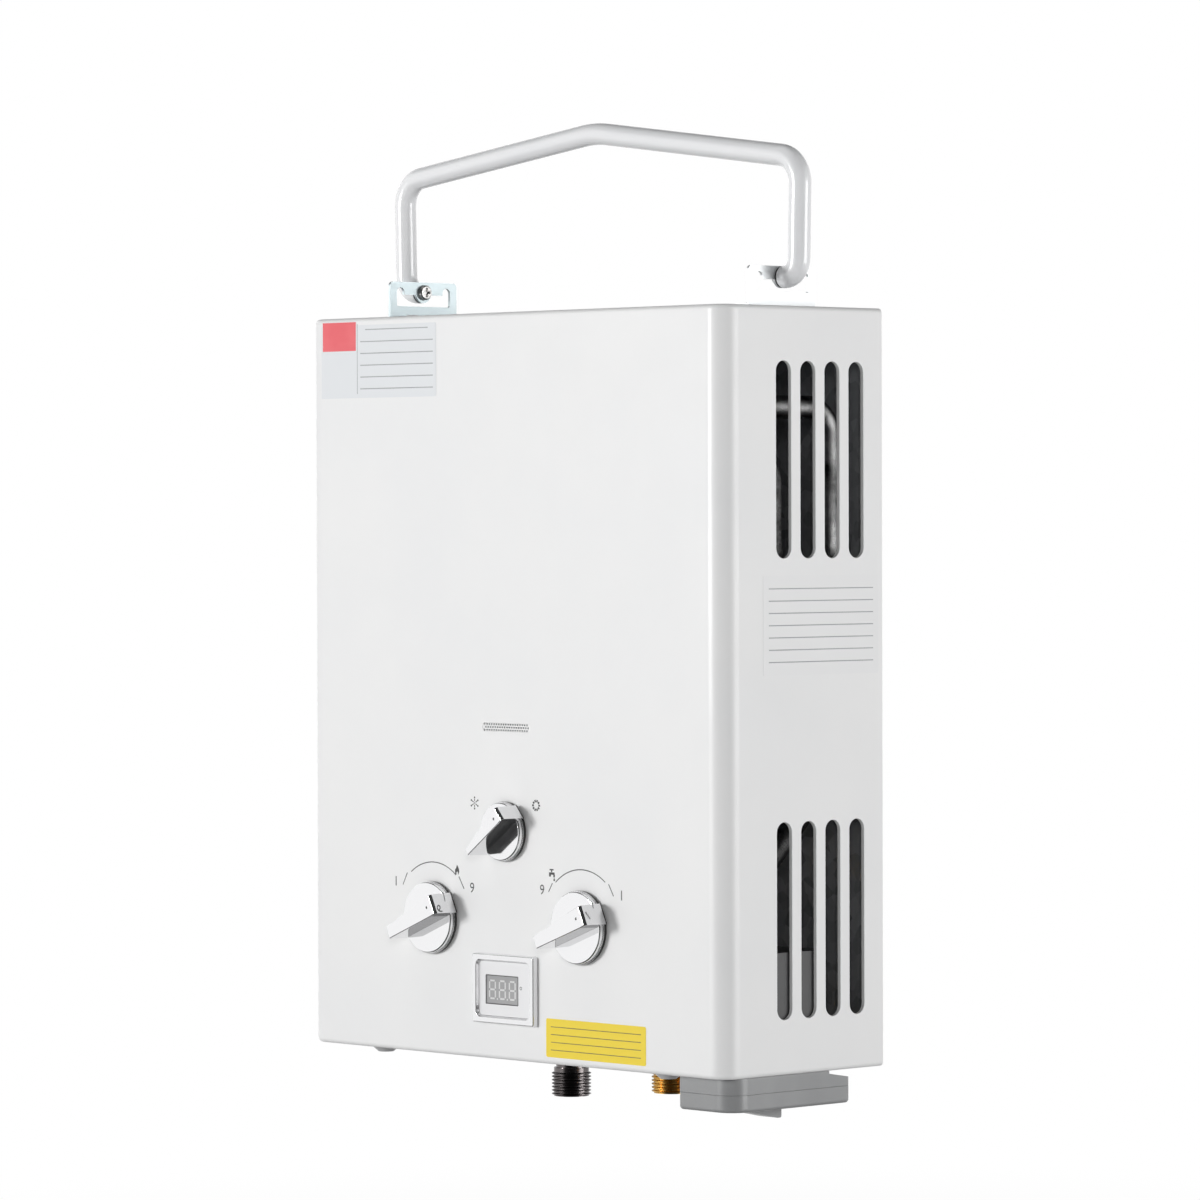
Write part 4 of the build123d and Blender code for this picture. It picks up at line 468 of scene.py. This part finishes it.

# %% [markdown]
# ## White paint
#
# The casing and the handle are steel with baked white paint. Sprayed powder flows into a skin with
# a very fine orange peel, which shows only in highlights. The casing is satin. The handle has a
# thicker, glossier coat, with a slightly cooler white. The casing's slots have a narrow whiter line
# round them: a painted highlight along each cut rim.

# %% Casing and handle paint
def white_paint(name, low, high, roughness, coat, peel):
    """Baked white paint whose tone drifts a little between low and high."""
    made, tree, shader = finish_of(name, high, 0, roughness, Coat_Weight=coat, Coat_Roughness=0.12)
    skin = place_effect(tree, paint_skin, Scale=1300, Low=0, High=1)
    tree.links.new(two_tone(tree, skin.outputs["Tone"], low, high), shader.inputs["Base Color"])
    rough = place_effect(tree, haze, Scale=18, Low=roughness - 0.04, High=roughness + 0.05)
    tree.links.new(rough.outputs[0], shader.inputs["Roughness"])
    bump(tree, shader, skin.outputs["Height"], peel)
    return made, tree, shader


case_white, tree, shader = white_paint(
    "case_white", (0.845, 0.848, 0.85), (0.865, 0.865, 0.862), roughness=0.42, coat=0.12, peel=0.000012
)
# at this scale one patch of the noise is wider than the whole casing
# a whiter line round each slot's rim: a painted highlight
painted_rim_highlight = place_effect(tree, edge_wear_and_highlight, Width=0.0009, Patches=0.5, Amount=2)
covered(tree, shader, painted_rim_highlight.outputs["Mask"], (0.97, 0.97, 0.97))
handle_white = white_paint(
    "handle_white", (0.86, 0.87, 0.885), (0.885, 0.89, 0.90), roughness=0.22, coat=0.5, peel=0.000006
)[0]
print("white paints:", case_white.name, handle_white.name)

# %% [markdown]
# ## Zinc and steel
#
# The back plate, the base and the brackets inside are galvanised. The handle's two lugs have a
# thinner, bluish zinc plate with a satin sheen and slightly rubbed edges. The right lug gets a paler,
# less metallic copy of that zinc, as painted light for the brighter reflection it catches. Screws and
# pins are plain steel with a fine grain.

# %% Galvanised sheet, plated lugs, screws
zinc_sheet, tree, shader = finish_of("zinc_sheet", (0.5, 0.52, 0.53), 0.7, 0.5)
cell = place_effect(tree, spangle, Scale=150, Low=0, High=1)
zinc_tones = two_tone(tree, cell.outputs["Tone"], (0.40, 0.42, 0.44), (0.60, 0.62, 0.64))
tree.links.new(zinc_tones, shader.inputs["Base Color"])
rough = place_effect(tree, haze, Scale=60, Low=0.44, High=0.60)
tree.links.new(rough.outputs[0], shader.inputs["Roughness"])
bump(tree, shader, cell.outputs["Height"], 0.00002)


def plated(name, flat, rubbed, metallic):
    """Thin satin zinc plate, paler where its edges are rubbed."""
    made, tree, shader = finish_of(name, flat, metallic, 0.36)
    worn = place_effect(tree, edge_wear_and_highlight, Width=0.0004, Patches=500, Amount=0.8)
    tree.links.new(two_tone(tree, worn.outputs["Mask"], flat, rubbed), shader.inputs["Base Color"])
    milled = place_effect(tree, grain, Scale=90, Low=0.32, High=0.46)
    tree.links.new(milled.outputs["Tone"], shader.inputs["Roughness"])
    bump(tree, shader, milled.outputs["Height"], 0.00001)
    return made


lug_zinc = plated("lug_zinc", (0.50, 0.57, 0.59), (0.74, 0.78, 0.79), metallic=0.75)
# the right lug's paler copy of the same zinc: painted light for the brighter reflection it catches
lug_zinc_painted_lit = plated("lug_zinc_painted_lit", (0.72, 0.74, 0.75), (0.84, 0.86, 0.86), metallic=0.55)
screw_pale = plated("screw_pale", (0.66, 0.66, 0.67), (0.82, 0.82, 0.82), metallic=0.25)

screw_steel, tree, shader = finish_of("screw_steel", (0.52, 0.51, 0.5), 1, 0.25)
milled = place_effect(tree, grain, Scale=400, Low=0.16, High=0.36)
tree.links.new(milled.outputs["Tone"], shader.inputs["Roughness"])
steel_tones = two_tone(tree, milled.outputs["Tone"], (0.62, 0.61, 0.60), (0.34, 0.33, 0.33))
tree.links.new(steel_tones, shader.inputs["Base Color"])
bump(tree, shader, milled.outputs["Height"], 0.000008)
print("steels:", zinc_sheet.name, lug_zinc.name, lug_zinc_painted_lit.name, screw_steel.name)


# %% [markdown]
# ## Tinned copper, brass and the dark gas fitting
#
# The chamber, its fins and the water pipes are copper dipped in a lead-free tin coat. It is grey,
# and darkens where it gets hot. A broad noise drifts between bright and darkened tin. On the chamber
# a dull film lies over it. The pipes' tin is painted much darker, as painted shade for the dark
# inside that they mirror, and is smoother, so each pipe carries a bright broken line.
# Turned brass is yellow and keeps bright crests on its threads, and the valve's cast brass is dull
# and almost grey. The gas fitting is blackened nickel: dark, smooth and shiny, so that each crest of
# its thread carries a thin white line.

# %% Tinned copper, brass, dark nickel
def dulled_metal(name, fresh, dull, patch_scale, rough, grain_depth=0.00001, bare=1.0):
    """Metal between a fresh and a dulled colour. rough is (low, high), bare how free of a dull film."""
    made, tree, shader = finish_of(name, fresh, bare, sum(rough) / 2)
    skin = place_effect(tree, paint_skin, Scale=patch_scale * 100, Low=0, High=1)
    tree.links.new(two_tone(tree, skin.outputs["Tone"], fresh, dull), shader.inputs["Base Color"])
    worn = place_effect(tree, haze, Scale=patch_scale, Low=rough[0], High=rough[1])
    tree.links.new(worn.outputs[0], shader.inputs["Roughness"])
    bump(tree, shader, skin.outputs["Height"], grain_depth)
    return made


tinned_copper = dulled_metal(
    "tinned_copper",
    (0.70, 0.70, 0.70),
    (0.16, 0.16, 0.16),
    110,
    rough=(0.24, 0.48),
    grain_depth=0.00025,
    bare=0.25,
)
# the pipes' tin, painted much darker than the chamber's: painted shade for the dark inside they mirror
pipe_tin_painted_dark = dulled_metal(
    "pipe_tin_painted_dark", (0.30, 0.30, 0.30), (0.03, 0.03, 0.03), 70, rough=(0.06, 0.16), grain_depth=0.00012
)
cast_brass = dulled_metal("cast_brass", (0.24, 0.22, 0.19), (0.12, 0.11, 0.10), 60, rough=(0.40, 0.60))
brass = dulled_metal("brass", (0.72, 0.46, 0.13), (0.55, 0.32, 0.07), 60, rough=(0.16, 0.30))
dark_nickel = dulled_metal(
    "dark_nickel", (0.17, 0.155, 0.155), (0.10, 0.09, 0.09), 80, rough=(0.12, 0.24), grain_depth=0.000005
)
stainless = dulled_metal("stainless", (0.58, 0.57, 0.55), (0.44, 0.43, 0.42), 40, rough=(0.24, 0.38))
print("metals:", tinned_copper.name, brass.name, dark_nickel.name, stainless.name)

# %% Cast alloy
cast_alloy, tree, shader = finish_of("cast_alloy", (0.46, 0.46, 0.47), 1, 0.5)
sand = place_effect(tree, paint_skin, Scale=1600, Low=0, High=1)
cast_tones = two_tone(tree, sand.outputs["Tone"], (0.38, 0.38, 0.39), (0.54, 0.54, 0.55))
tree.links.new(cast_tones, shader.inputs["Base Color"])
rough = place_effect(tree, haze, Scale=90, Low=0.42, High=0.62)
tree.links.new(rough.outputs[0], shader.inputs["Roughness"])
bump(tree, shader, sand.outputs["Height"], 0.00006)
print("cast:", cast_alloy.name)

# %% [markdown]
# ## Chrome knobs and display frame
#
# The knobs are bright chrome over a moulded core. Chrome has almost no colour of its own, so its
# look is nearly all reflection. A very slight haze from fingers keeps it from looking like glass.
# Its edges are a little round, and a rounded edge mirrors the whole room in a thin line: the Bevel
# node gives that line without more faces. The back of each knob, next to the casing, is painted
# black and not metallic: painted shade for the shadowed gap under it. The depth of a point tells it
# from the chrome. The display's face plate is satin silver, with a fine horizontal brush.

# %% Chrome
CHROMED = 0.95  # how metallic the chrome is
KNOB_CHROME = (0.90, 0.90, 0.91)


def bright_chrome(name, colour, rough, edge_radius):
    """Polished chrome with slightly round edges. rough is the lowest and the highest roughness."""
    made, tree, shader = finish_of(name, colour, CHROMED, rough[0])
    touched = place_effect(tree, haze, Scale=70, Low=rough[0], High=rough[1])
    tree.links.new(touched.outputs[0], shader.inputs["Roughness"])
    round_edge = tree.nodes.new("ShaderNodeBevel")
    round_edge.samples = 6
    round_edge.inputs["Radius"].default_value = edge_radius
    tree.links.new(round_edge.outputs[0], shader.inputs["Normal"])
    return made


knob_chrome = bright_chrome("knob_chrome", KNOB_CHROME, rough=(0.03, 0.09), edge_radius=0.00015)
bezel_chrome = bright_chrome("bezel_chrome", (0.86, 0.86, 0.87), rough=(0.05, 0.12), edge_radius=0.0005)
print("chrome:", knob_chrome.name, bezel_chrome.name)

# %% The painted shadow at the back of each knob
SHADOW_RING_FRONT = -0.1174  # the knobs' rear is at -0.1157, so the ring is 1.7 mm deep
tree = knob_chrome.node_tree
shader = tree.nodes["Principled BSDF"]
# the back of each knob is painted black and not metallic: painted shade for the gap against the casing
painted_shadow_ring = beyond(tree, "Y", SHADOW_RING_FRONT)
shadow_ring_colour = two_tone(tree, painted_shadow_ring, KNOB_CHROME, (0.02, 0.02, 0.02))
tree.links.new(shadow_ring_colour, shader.inputs["Base Color"])
plating = tree.nodes.new("ShaderNodeMapRange")
plating.inputs["To Min"].default_value = CHROMED
plating.inputs["To Max"].default_value = 0.0
tree.links.new(painted_shadow_ring, plating.inputs["Value"])
tree.links.new(plating.outputs[0], shader.inputs["Metallic"])
print("knob finish:", len(tree.nodes), "nodes")

# %% The display's satin silver plate and grey glass
display_silver, tree, shader = finish_of("display_silver", (0.72, 0.72, 0.73), 0.2, 0.35)
brushed = place_effect(tree, grain, Scale=300, Low=0.28, High=0.42)
tree.links.new(brushed.outputs["Tone"], shader.inputs["Roughness"])
silver_tones = two_tone(tree, brushed.outputs["Tone"], (0.76, 0.76, 0.77), (0.68, 0.68, 0.69))
tree.links.new(silver_tones, shader.inputs["Base Color"])
bump(tree, shader, brushed.outputs["Height"], 0.000004)

display_glass, tree, shader = finish_of("display_glass", (0.36, 0.36, 0.365), 0, 0.12, Coat_Weight=0.6)
film = place_effect(tree, paint_skin, Scale=2600, Low=0, High=1)
glass_tones = two_tone(tree, film.outputs["Tone"], (0.345, 0.345, 0.35), (0.385, 0.385, 0.39))
tree.links.new(glass_tones, shader.inputs["Base Color"])
rough = place_effect(tree, haze, Scale=120, Low=0.08, High=0.16)
tree.links.new(rough.outputs[0], shader.inputs["Roughness"])
print("display:", display_silver.name, display_glass.name)


# %% [markdown]
# ## Plastics, rubber, ceramic and cells
#
# Moulded plastic takes a fine spark-eroded texture from its tool. The battery box is mid grey, and
# its upright corner carries a soft highlight. The part of it that stands inside the casing is
# painted nearly black, as painted shade for the little light that reaches it there: comparing the
# height with the base plate's tells the two apart. Black parts inside are the same kind of plastic.
# The electrodes' sleeves are glazed ceramic.

# %% A helper for moulded pieces
def moulded(name, low, high, roughness, texture, coat=0.0):
    """Moulded plastic with an even fine texture and a tone between low and high."""
    made, tree, shader = finish_of(name, high, 0, roughness, Coat_Weight=coat)
    skin = place_effect(tree, paint_skin, Scale=2200, Low=0, High=1)
    tree.links.new(two_tone(tree, skin.outputs["Tone"], low, high), shader.inputs["Base Color"])
    rough = place_effect(tree, haze, Scale=50, Low=roughness - 0.05, High=roughness + 0.06)
    tree.links.new(rough.outputs[0], shader.inputs["Roughness"])
    bump(tree, shader, skin.outputs["Height"], texture)
    return made


print("helper: moulded")

# %% Plastics, rubber, ceramic, cells
SPARK, GLAZE = 0.00002, 0.000004  # how deep the two textures are, in metres
battery_grey = moulded("battery_grey", (0.262, 0.266, 0.27), (0.30, 0.304, 0.308), 0.36, SPARK, coat=0.1)
BASE_PLATE = 0.001  # a height within the casing's base plate
tree = battery_grey.node_tree
# the part inside the casing is painted nearly black: painted shade, as little light reaches it
shaded_inside_casing = beyond(tree, "Z", BASE_PLATE)
covered(tree, tree.nodes["Principled BSDF"], shaded_inside_casing, (0.03, 0.03, 0.031))
black_plastic = moulded("black_plastic", (0.025, 0.025, 0.027), (0.045, 0.045, 0.047), 0.45, SPARK)
diaphragm_rubber = moulded("diaphragm_rubber", (0.03, 0.03, 0.03), (0.055, 0.055, 0.055), 0.62, 2 * SPARK)
ceramic = moulded("ceramic", (0.80, 0.79, 0.75), (0.86, 0.85, 0.82), 0.18, GLAZE, coat=0.6)
cell_wrap = moulded("cell_wrap", (0.05, 0.10, 0.14), (0.07, 0.13, 0.18), 0.24, GLAZE, coat=0.5)
print("plastics:", battery_grey.name, black_plastic.name, ceramic.name)

# %% [markdown]
# ## Stickers
#
# Three stickers are stuck on: a cool white one at the upper left, a yellow one at the lower right
# and a pale grey one on the side. They are one node in the construction, so one material colours
# each by its place. Comparing the height and the sideways position gives a mask for each.

# %% Sticker film
label_film, tree, shader = finish_of("label_film", (0.86, 0.88, 0.9), 0, 0.4, Coat_Weight=0.08)
YELLOW_BELOW, SIDE_BEYOND = 0.05, 0.1585  # only the yellow one is so low, only the grey one so far right
is_low = beyond(tree, "Z", YELLOW_BELOW, "LESS_THAN")
is_side = beyond(tree, "X", SIDE_BEYOND)
white_or_yellow = two_tone(tree, is_low, (0.76, 0.78, 0.80), (0.88, 0.67, 0.018))
tree.links.new(white_or_yellow, shader.inputs["Base Color"])
covered(tree, shader, is_side, (0.84, 0.842, 0.845))
film = place_effect(tree, haze, Scale=60, Low=0.36, High=0.46)
tree.links.new(film.outputs[0], shader.inputs["Roughness"])
print("stickers:", label_film.name)

# %% [markdown]
# ## Giving the finishes to the construction
#
# Each node of the construction names a slot in its record. A table from slot to material dresses
# nearly all of them. The water pipes get a darkened copy of the tin, as painted shade, and the water
# valve's casting has a finish of its own.

# %% Dress the nodes
finish_by_slot = {
    "case_white": case_white,
    "grille_white": case_white,
    "handle_white": handle_white,
    "zinc_sheet": zinc_sheet,
    "bracket_zinc": lug_zinc,
    "bracket_light": lug_zinc_painted_lit,
    "screw_steel": screw_steel,
    "screw_pale": screw_pale,
    "label_film": label_film,
    "tinned_copper": tinned_copper,
    "brass": brass,
    "stainless": stainless,
    "cast_alloy": cast_alloy,
    "dark_nickel": dark_nickel,
    "ceramic": ceramic,
    "black_plastic": black_plastic,
    "diaphragm_rubber": diaphragm_rubber,
    "knob_chrome": knob_chrome,
    "bezel_chrome": bezel_chrome,
    "display_silver": display_silver,
    "display_glass": display_glass,
    "battery_grey": battery_grey,
    "cell_wrap": cell_wrap,
}
finish_by_node = {
    "hot_pipe": pipe_tin_painted_dark,
    "cold_pipe": pipe_tin_painted_dark,
    "return_bends": pipe_tin_painted_dark,
    "water_valve_body": cast_brass,
}
for subpart in frame["record"]["subparts"]:
    piece = nodes[subpart["node"]]
    for place in piece.material_slots:
        place.link = "OBJECT"
        place.material = finish_by_node.get(subpart["node"]) or finish_by_slot[subpart["material_slot"]]

# %% [markdown]
# ## Prints on the front
#
# The dials, icons and ruled lines are ink, a few hundredths of a millimetre thick. Each is a very
# thin solid on the face, drawn in millimetres in the plane of the front, where across is x and up
# is z. Bands, strokes and discs cover every mark. Real ink is slightly uneven, so its tone drifts.

# %% Ink
def ink(name, dark, pale, roughness=0.45):
    """Printed ink whose tone drifts from dark to pale."""
    made, tree, shader = finish_of(name, dark, 0, roughness)
    mottle = place_effect(tree, paint_skin, Scale=5000, Low=0, High=1)
    tree.links.new(two_tone(tree, mottle.outputs["Tone"], dark, pale), shader.inputs["Base Color"])
    return made


grey_ink = ink("grey_ink", (0.035, 0.035, 0.036), (0.07, 0.07, 0.072))
black_ink = ink("black_ink", (0.012, 0.012, 0.012), (0.03, 0.03, 0.03))
red_ink = ink("red_ink", (0.80, 0.10, 0.12), (0.84, 0.13, 0.15), 0.4)
rule_ink = ink("rule_ink", (0.30, 0.31, 0.32), (0.38, 0.39, 0.40))
brown_ink = ink("brown_ink", (0.20, 0.16, 0.03), (0.26, 0.2, 0.04))
segment_ink = ink("segment_ink", (0.66, 0.66, 0.66), (0.72, 0.72, 0.72), 0.3)
print("inks:", grey_ink.name, black_ink.name, red_ink.name)


# %% Bands and strokes in the plane of a face
def band_of_arc(centre, radius, width, start, end, steps=48):
    """Quads along an arc. Angles are in degrees, anticlockwise from the right."""
    quads = []
    for i in range(steps):
        a, b = (radians(start + (end - start) * (i + k) / steps) for k in (0, 1))
        inner, outer = radius - width / 2, radius + width / 2
        quads.append(
            [
                (centre[0] + r * cos(t), centre[1] + r * sin(t))
                for r, t in ((inner, a), (outer, a), (outer, b), (inner, b))
            ]
        )
    return quads


def stroke(start, end, width):
    """One straight stroke with square ends."""
    along = Vector((end[0] - start[0], end[1] - start[1])).normalized()
    side = Vector((-along.y, along.x)) * width / 2
    return [
        [
            (start[0] + side.x, start[1] + side.y),
            (start[0] - side.x, start[1] - side.y),
            (end[0] - side.x, end[1] - side.y),
            (end[0] + side.x, end[1] + side.y),
        ]
    ]


print("helpers: band_of_arc, stroke")


# %% Discs and panels
def dot(centre, radius, sides=20):
    """A small filled disc."""
    angles = [2 * pi * i / sides for i in range(sides)]
    return [[(centre[0] + radius * cos(t), centre[1] + radius * sin(t)) for t in angles]]


def panel(centre, width, height):
    """A filled rectangle."""
    x, z = centre
    return [
        [
            (x - width / 2, z - height / 2),
            (x + width / 2, z - height / 2),
            (x + width / 2, z + height / 2),
            (x - width / 2, z + height / 2),
        ]
    ]


print("helpers: dot, panel")

# %% Making a print
FRONT, SIDE = -115.0, 159.0  # where the casing's front and right side lie, in mm


def print_on(name, shapes, material, face="front", level=0.0, thickness=0.03):
    """A thin solid print from flat shapes in millimetres, standing on the face or level above it."""
    mesh = bmesh.new()
    outward = Vector((0, -1, 0)) if face == "front" else Vector((1, 0, 0))
    for shape in shapes:
        if face == "front":
            corners = [mesh.verts.new((x * MM, (FRONT - level) * MM, z * MM)) for x, z in shape]
        else:
            corners = [mesh.verts.new(((SIDE + level) * MM, y * MM, z * MM)) for y, z in shape]
        ground = mesh.faces.new(corners)
        lifted = bmesh.ops.extrude_face_region(mesh, geom=[ground])
        tops = [g for g in lifted["geom"] if isinstance(g, bmesh.types.BMVert)]
        bmesh.ops.translate(mesh, verts=tops, vec=outward * thickness * MM)
    bmesh.ops.recalc_face_normals(mesh, faces=mesh.faces)
    data = bpy.data.meshes.new(name)
    mesh.to_mesh(data)
    mesh.free()
    data.materials.append(material)
    made = bpy.data.objects.new(name, data)
    bpy.context.scene.collection.objects.link(made)
    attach(made, "casing")
    print(name, len(shapes), "shapes")
    return made


# %% [markdown]
# ## The dials
#
# Each big knob has a thin arc over it, broken near its ends, where a short straight tick stands.
# Plain numbers mark the two ends. The small knob chooses between full and reduced burning, which a
# snowflake and a sun show.

# %% Arcs and ticks
LINE = 0.55  # how wide a dial's line is, in mm
gas_centre, water_centre = (-59, 72), (55, 72)
gas_dial = band_of_arc(gas_centre, 29.1, LINE, 127, 52)
gas_dial += stroke((-83.1, 88.2), (-79.6, 94.6), LINE) + stroke((-38.9, 94.3), (-34.9, 88.0), LINE)
water_dial = band_of_arc(water_centre, 29.8, LINE, 131, 54)
water_dial += stroke((30.1, 89.3), (33.0, 94.0), LINE) + stroke((75.0, 95.3), (78.7, 89.2), LINE)
print_on("gas_dial_print", gas_dial, grey_ink)
print_on("water_dial_print", water_dial, grey_ink)


# %% Numbers at the ends of the dials
def number_print(name, places, material, size):
    """Plain numbers, each given as (text, x, z), as one thin solid print on the front."""
    mesh = bmesh.new()
    for text, x, z in places:
        letters = bpy.data.curves.new(name, "FONT")
        letters.body, letters.size = text, size * MM
        letters.align_x, letters.align_y = "CENTER", "CENTER"
        letters.extrude = 0.015 * MM
        holder = bpy.data.objects.new(name, letters)
        bpy.context.scene.collection.objects.link(holder)
        bpy.context.view_layer.update()
        outline = bpy.data.meshes.new_from_object(holder.evaluated_get(bpy.context.evaluated_depsgraph_get()))
        outline.transform(Matrix.Rotation(pi / 2, 4, "X"))
        outline.transform(Matrix.Translation((x * MM, (FRONT - 0.015) * MM, z * MM)))
        mesh.from_mesh(outline)
        bpy.data.objects.remove(holder)
        bpy.data.meshes.remove(outline)
    data = bpy.data.meshes.new(name)
    mesh.to_mesh(data)
    mesh.free()
    data.materials.append(material)
    made = bpy.data.objects.new(name, data)
    bpy.context.scene.collection.objects.link(made)
    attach(made, "casing")
    print(name, [p[0] for p in places])
    return made


number_print(
    "dial_numbers",
    [("1", -88.6, 89.6), ("9", -28.6, 88.6), ("9", 25.2, 90.0), ("1", 84.6, 89.6)],
    grey_ink,
    size=7.4,
)

# %% [markdown]
# The icons are drawn from the same shapes. A flame is one curved outline, and a tap is a body, a
# lever and a drop. The snowflake has six arms with a dot at each end. The sun is a ring of ten short
# rays.

# %% Flame and tap
flame_outline = [(0, 4.6), (1.1, 2.9), (1.9, 1.2), (2.05, -0.6), (1.5, -2.3)]
flame_outline += [(0.9, -3.0), (0.85, -1.6), (0.2, -0.2), (-0.6, -1.4), (-0.7, -3.0)]
flame_outline += [(-1.6, -2.2), (-2.1, -0.5), (-1.9, 1.0), (-1.0, 2.0), (-0.55, 3.2)]
flame = [[(-40.3 + 0.8 * x, 97.2 + 0.7 * z) for x, z in flame_outline]]
print_on("flame_print", flame, black_ink)

tap = panel((32.6, 98.9), 4.2, 1.2) + panel((32.4, 100.2), 0.9, 1.2) + panel((32.4, 100.9), 3.0, 0.7)
tap += panel((31.2, 97.8), 1.4, 1.0) + panel((34.3, 97.7), 1.2, 1.4)
tap += dot((34.4, 95.6), 0.6) + [[(33.85, 95.8), (34.95, 95.8), (34.4, 96.8)]]
print_on("tap_print", tap, black_ink)


# %% Snowflake and sun
def out_from(centre, degrees, *distances):
    """Points at each distance from centre, in the direction degrees."""
    t = radians(degrees)
    return [(centre[0] + r * cos(t), centre[1] + r * sin(t)) for r in distances]


snow_centre, sun_centre = (-26.5, 133.4), (20.8, 133.7)
snowflake = dot(snow_centre, 0.4)
for k in range(6):
    near, far, end = out_from(snow_centre, 30 + 60 * k, 0.9, 2.2, 2.9)
    snowflake += stroke(near, far, 0.55) + dot(end, 0.5)
print_on("snowflake_print", snowflake, black_ink)
sun = []
for k in range(10):
    near, far = out_from(sun_centre, 36 * k, 1.7, 3.0)
    sun += stroke(near, far, 1.0)
print_on("sun_print", sun, black_ink)

# %% [markdown]
# ## Blank stickers
#
# The stickers carry no words. The white one keeps its red block and its dividing rule, and all
# three have thin ruled lines, like a form nobody has filled in.

# %% Blocks and rules on the stickers
STICKER = 0.15  # how far a sticker stands proud of the paint, in mm
print_on("red_block_print", panel((-133.0, 380.0), 26.9, 15.4), red_ink, level=STICKER)
divider = panel((-118.4, 367.9), 0.35, 37.4)
white_rules = panel((-87.0, 383.5), 50, 0.5)
for z in (377.1, 370.8, 364.5, 358.2, 351.9):
    white_rules += panel((-87.0, z), 58, 0.5)
print_on("white_sticker_rules", divider + white_rules, rule_ink, level=STICKER)
yellow_rules = [panel((65.2, z), 67, 0.45)[0] for z in (19.6, 15.6, 11.6, 7.6)]
print_on("yellow_sticker_rules", yellow_rules, brown_ink, level=STICKER)
side_rules = [panel((-45, z), 76, 0.5)[0] for z in (246.6, 240.4, 234.2, 228.0, 221.8, 215.6, 209.4)]
print_on("side_sticker_rules", side_rules, rule_ink, face="side", level=STICKER)


# %% [markdown]
# ## The display
#
# The display is off, so only the pale outlines of its seven-segment digits show on grey glass.
# Each digit is seven strokes with small gaps between them. A thin dark line frames the glass, and
# beside it a tiny ring stands for degrees.

# %% Seven-segment digits
def segments(centre, width, height, thick):
    """The seven strokes of a digit, with small gaps where they would meet."""
    x, z = centre
    w, h, gap = width / 2, height / 2, thick * 0.55
    strokes = []
    for level in (-h, 0, h):
        strokes += stroke((x - w + gap, z + level), (x + w - gap, z + level), thick)
    for across in (-w, w):
        for low in (-h, 0):
            strokes += stroke((x + across, z + low + gap), (x + across, z + low + h - gap), thick)
    return strokes


# %% Digits, frame line and degree ring
GLASS, PLATE = 1.05, 1.35  # how far the glass and the plate stand proud of the front, in mm
digits = []
for x in (-11.9, -4.3, 3.3):
    digits += segments((x, 36.5), 4.4, 9.3, 0.95)
for x in (-8.1, -0.5):
    digits += dot((x, 31.7), 0.5)
print_on("display_digits", digits, segment_ink, level=GLASS)

left, right, low, high = -16.6, 8.0, 29.05, 43.95
frame_lines = []
for z in (high, low):
    frame_lines += stroke((left, z), (right, z), 0.5)
for x in (left, right):
    frame_lines += stroke((x, high), (x, low), 0.5)
print_on("glass_outline", frame_lines, grey_ink, level=PLATE)
print_on("degree_ring", band_of_arc((10.2, 38.2), 0.75, 0.3, 0, 360, 24), grey_ink, level=PLATE)
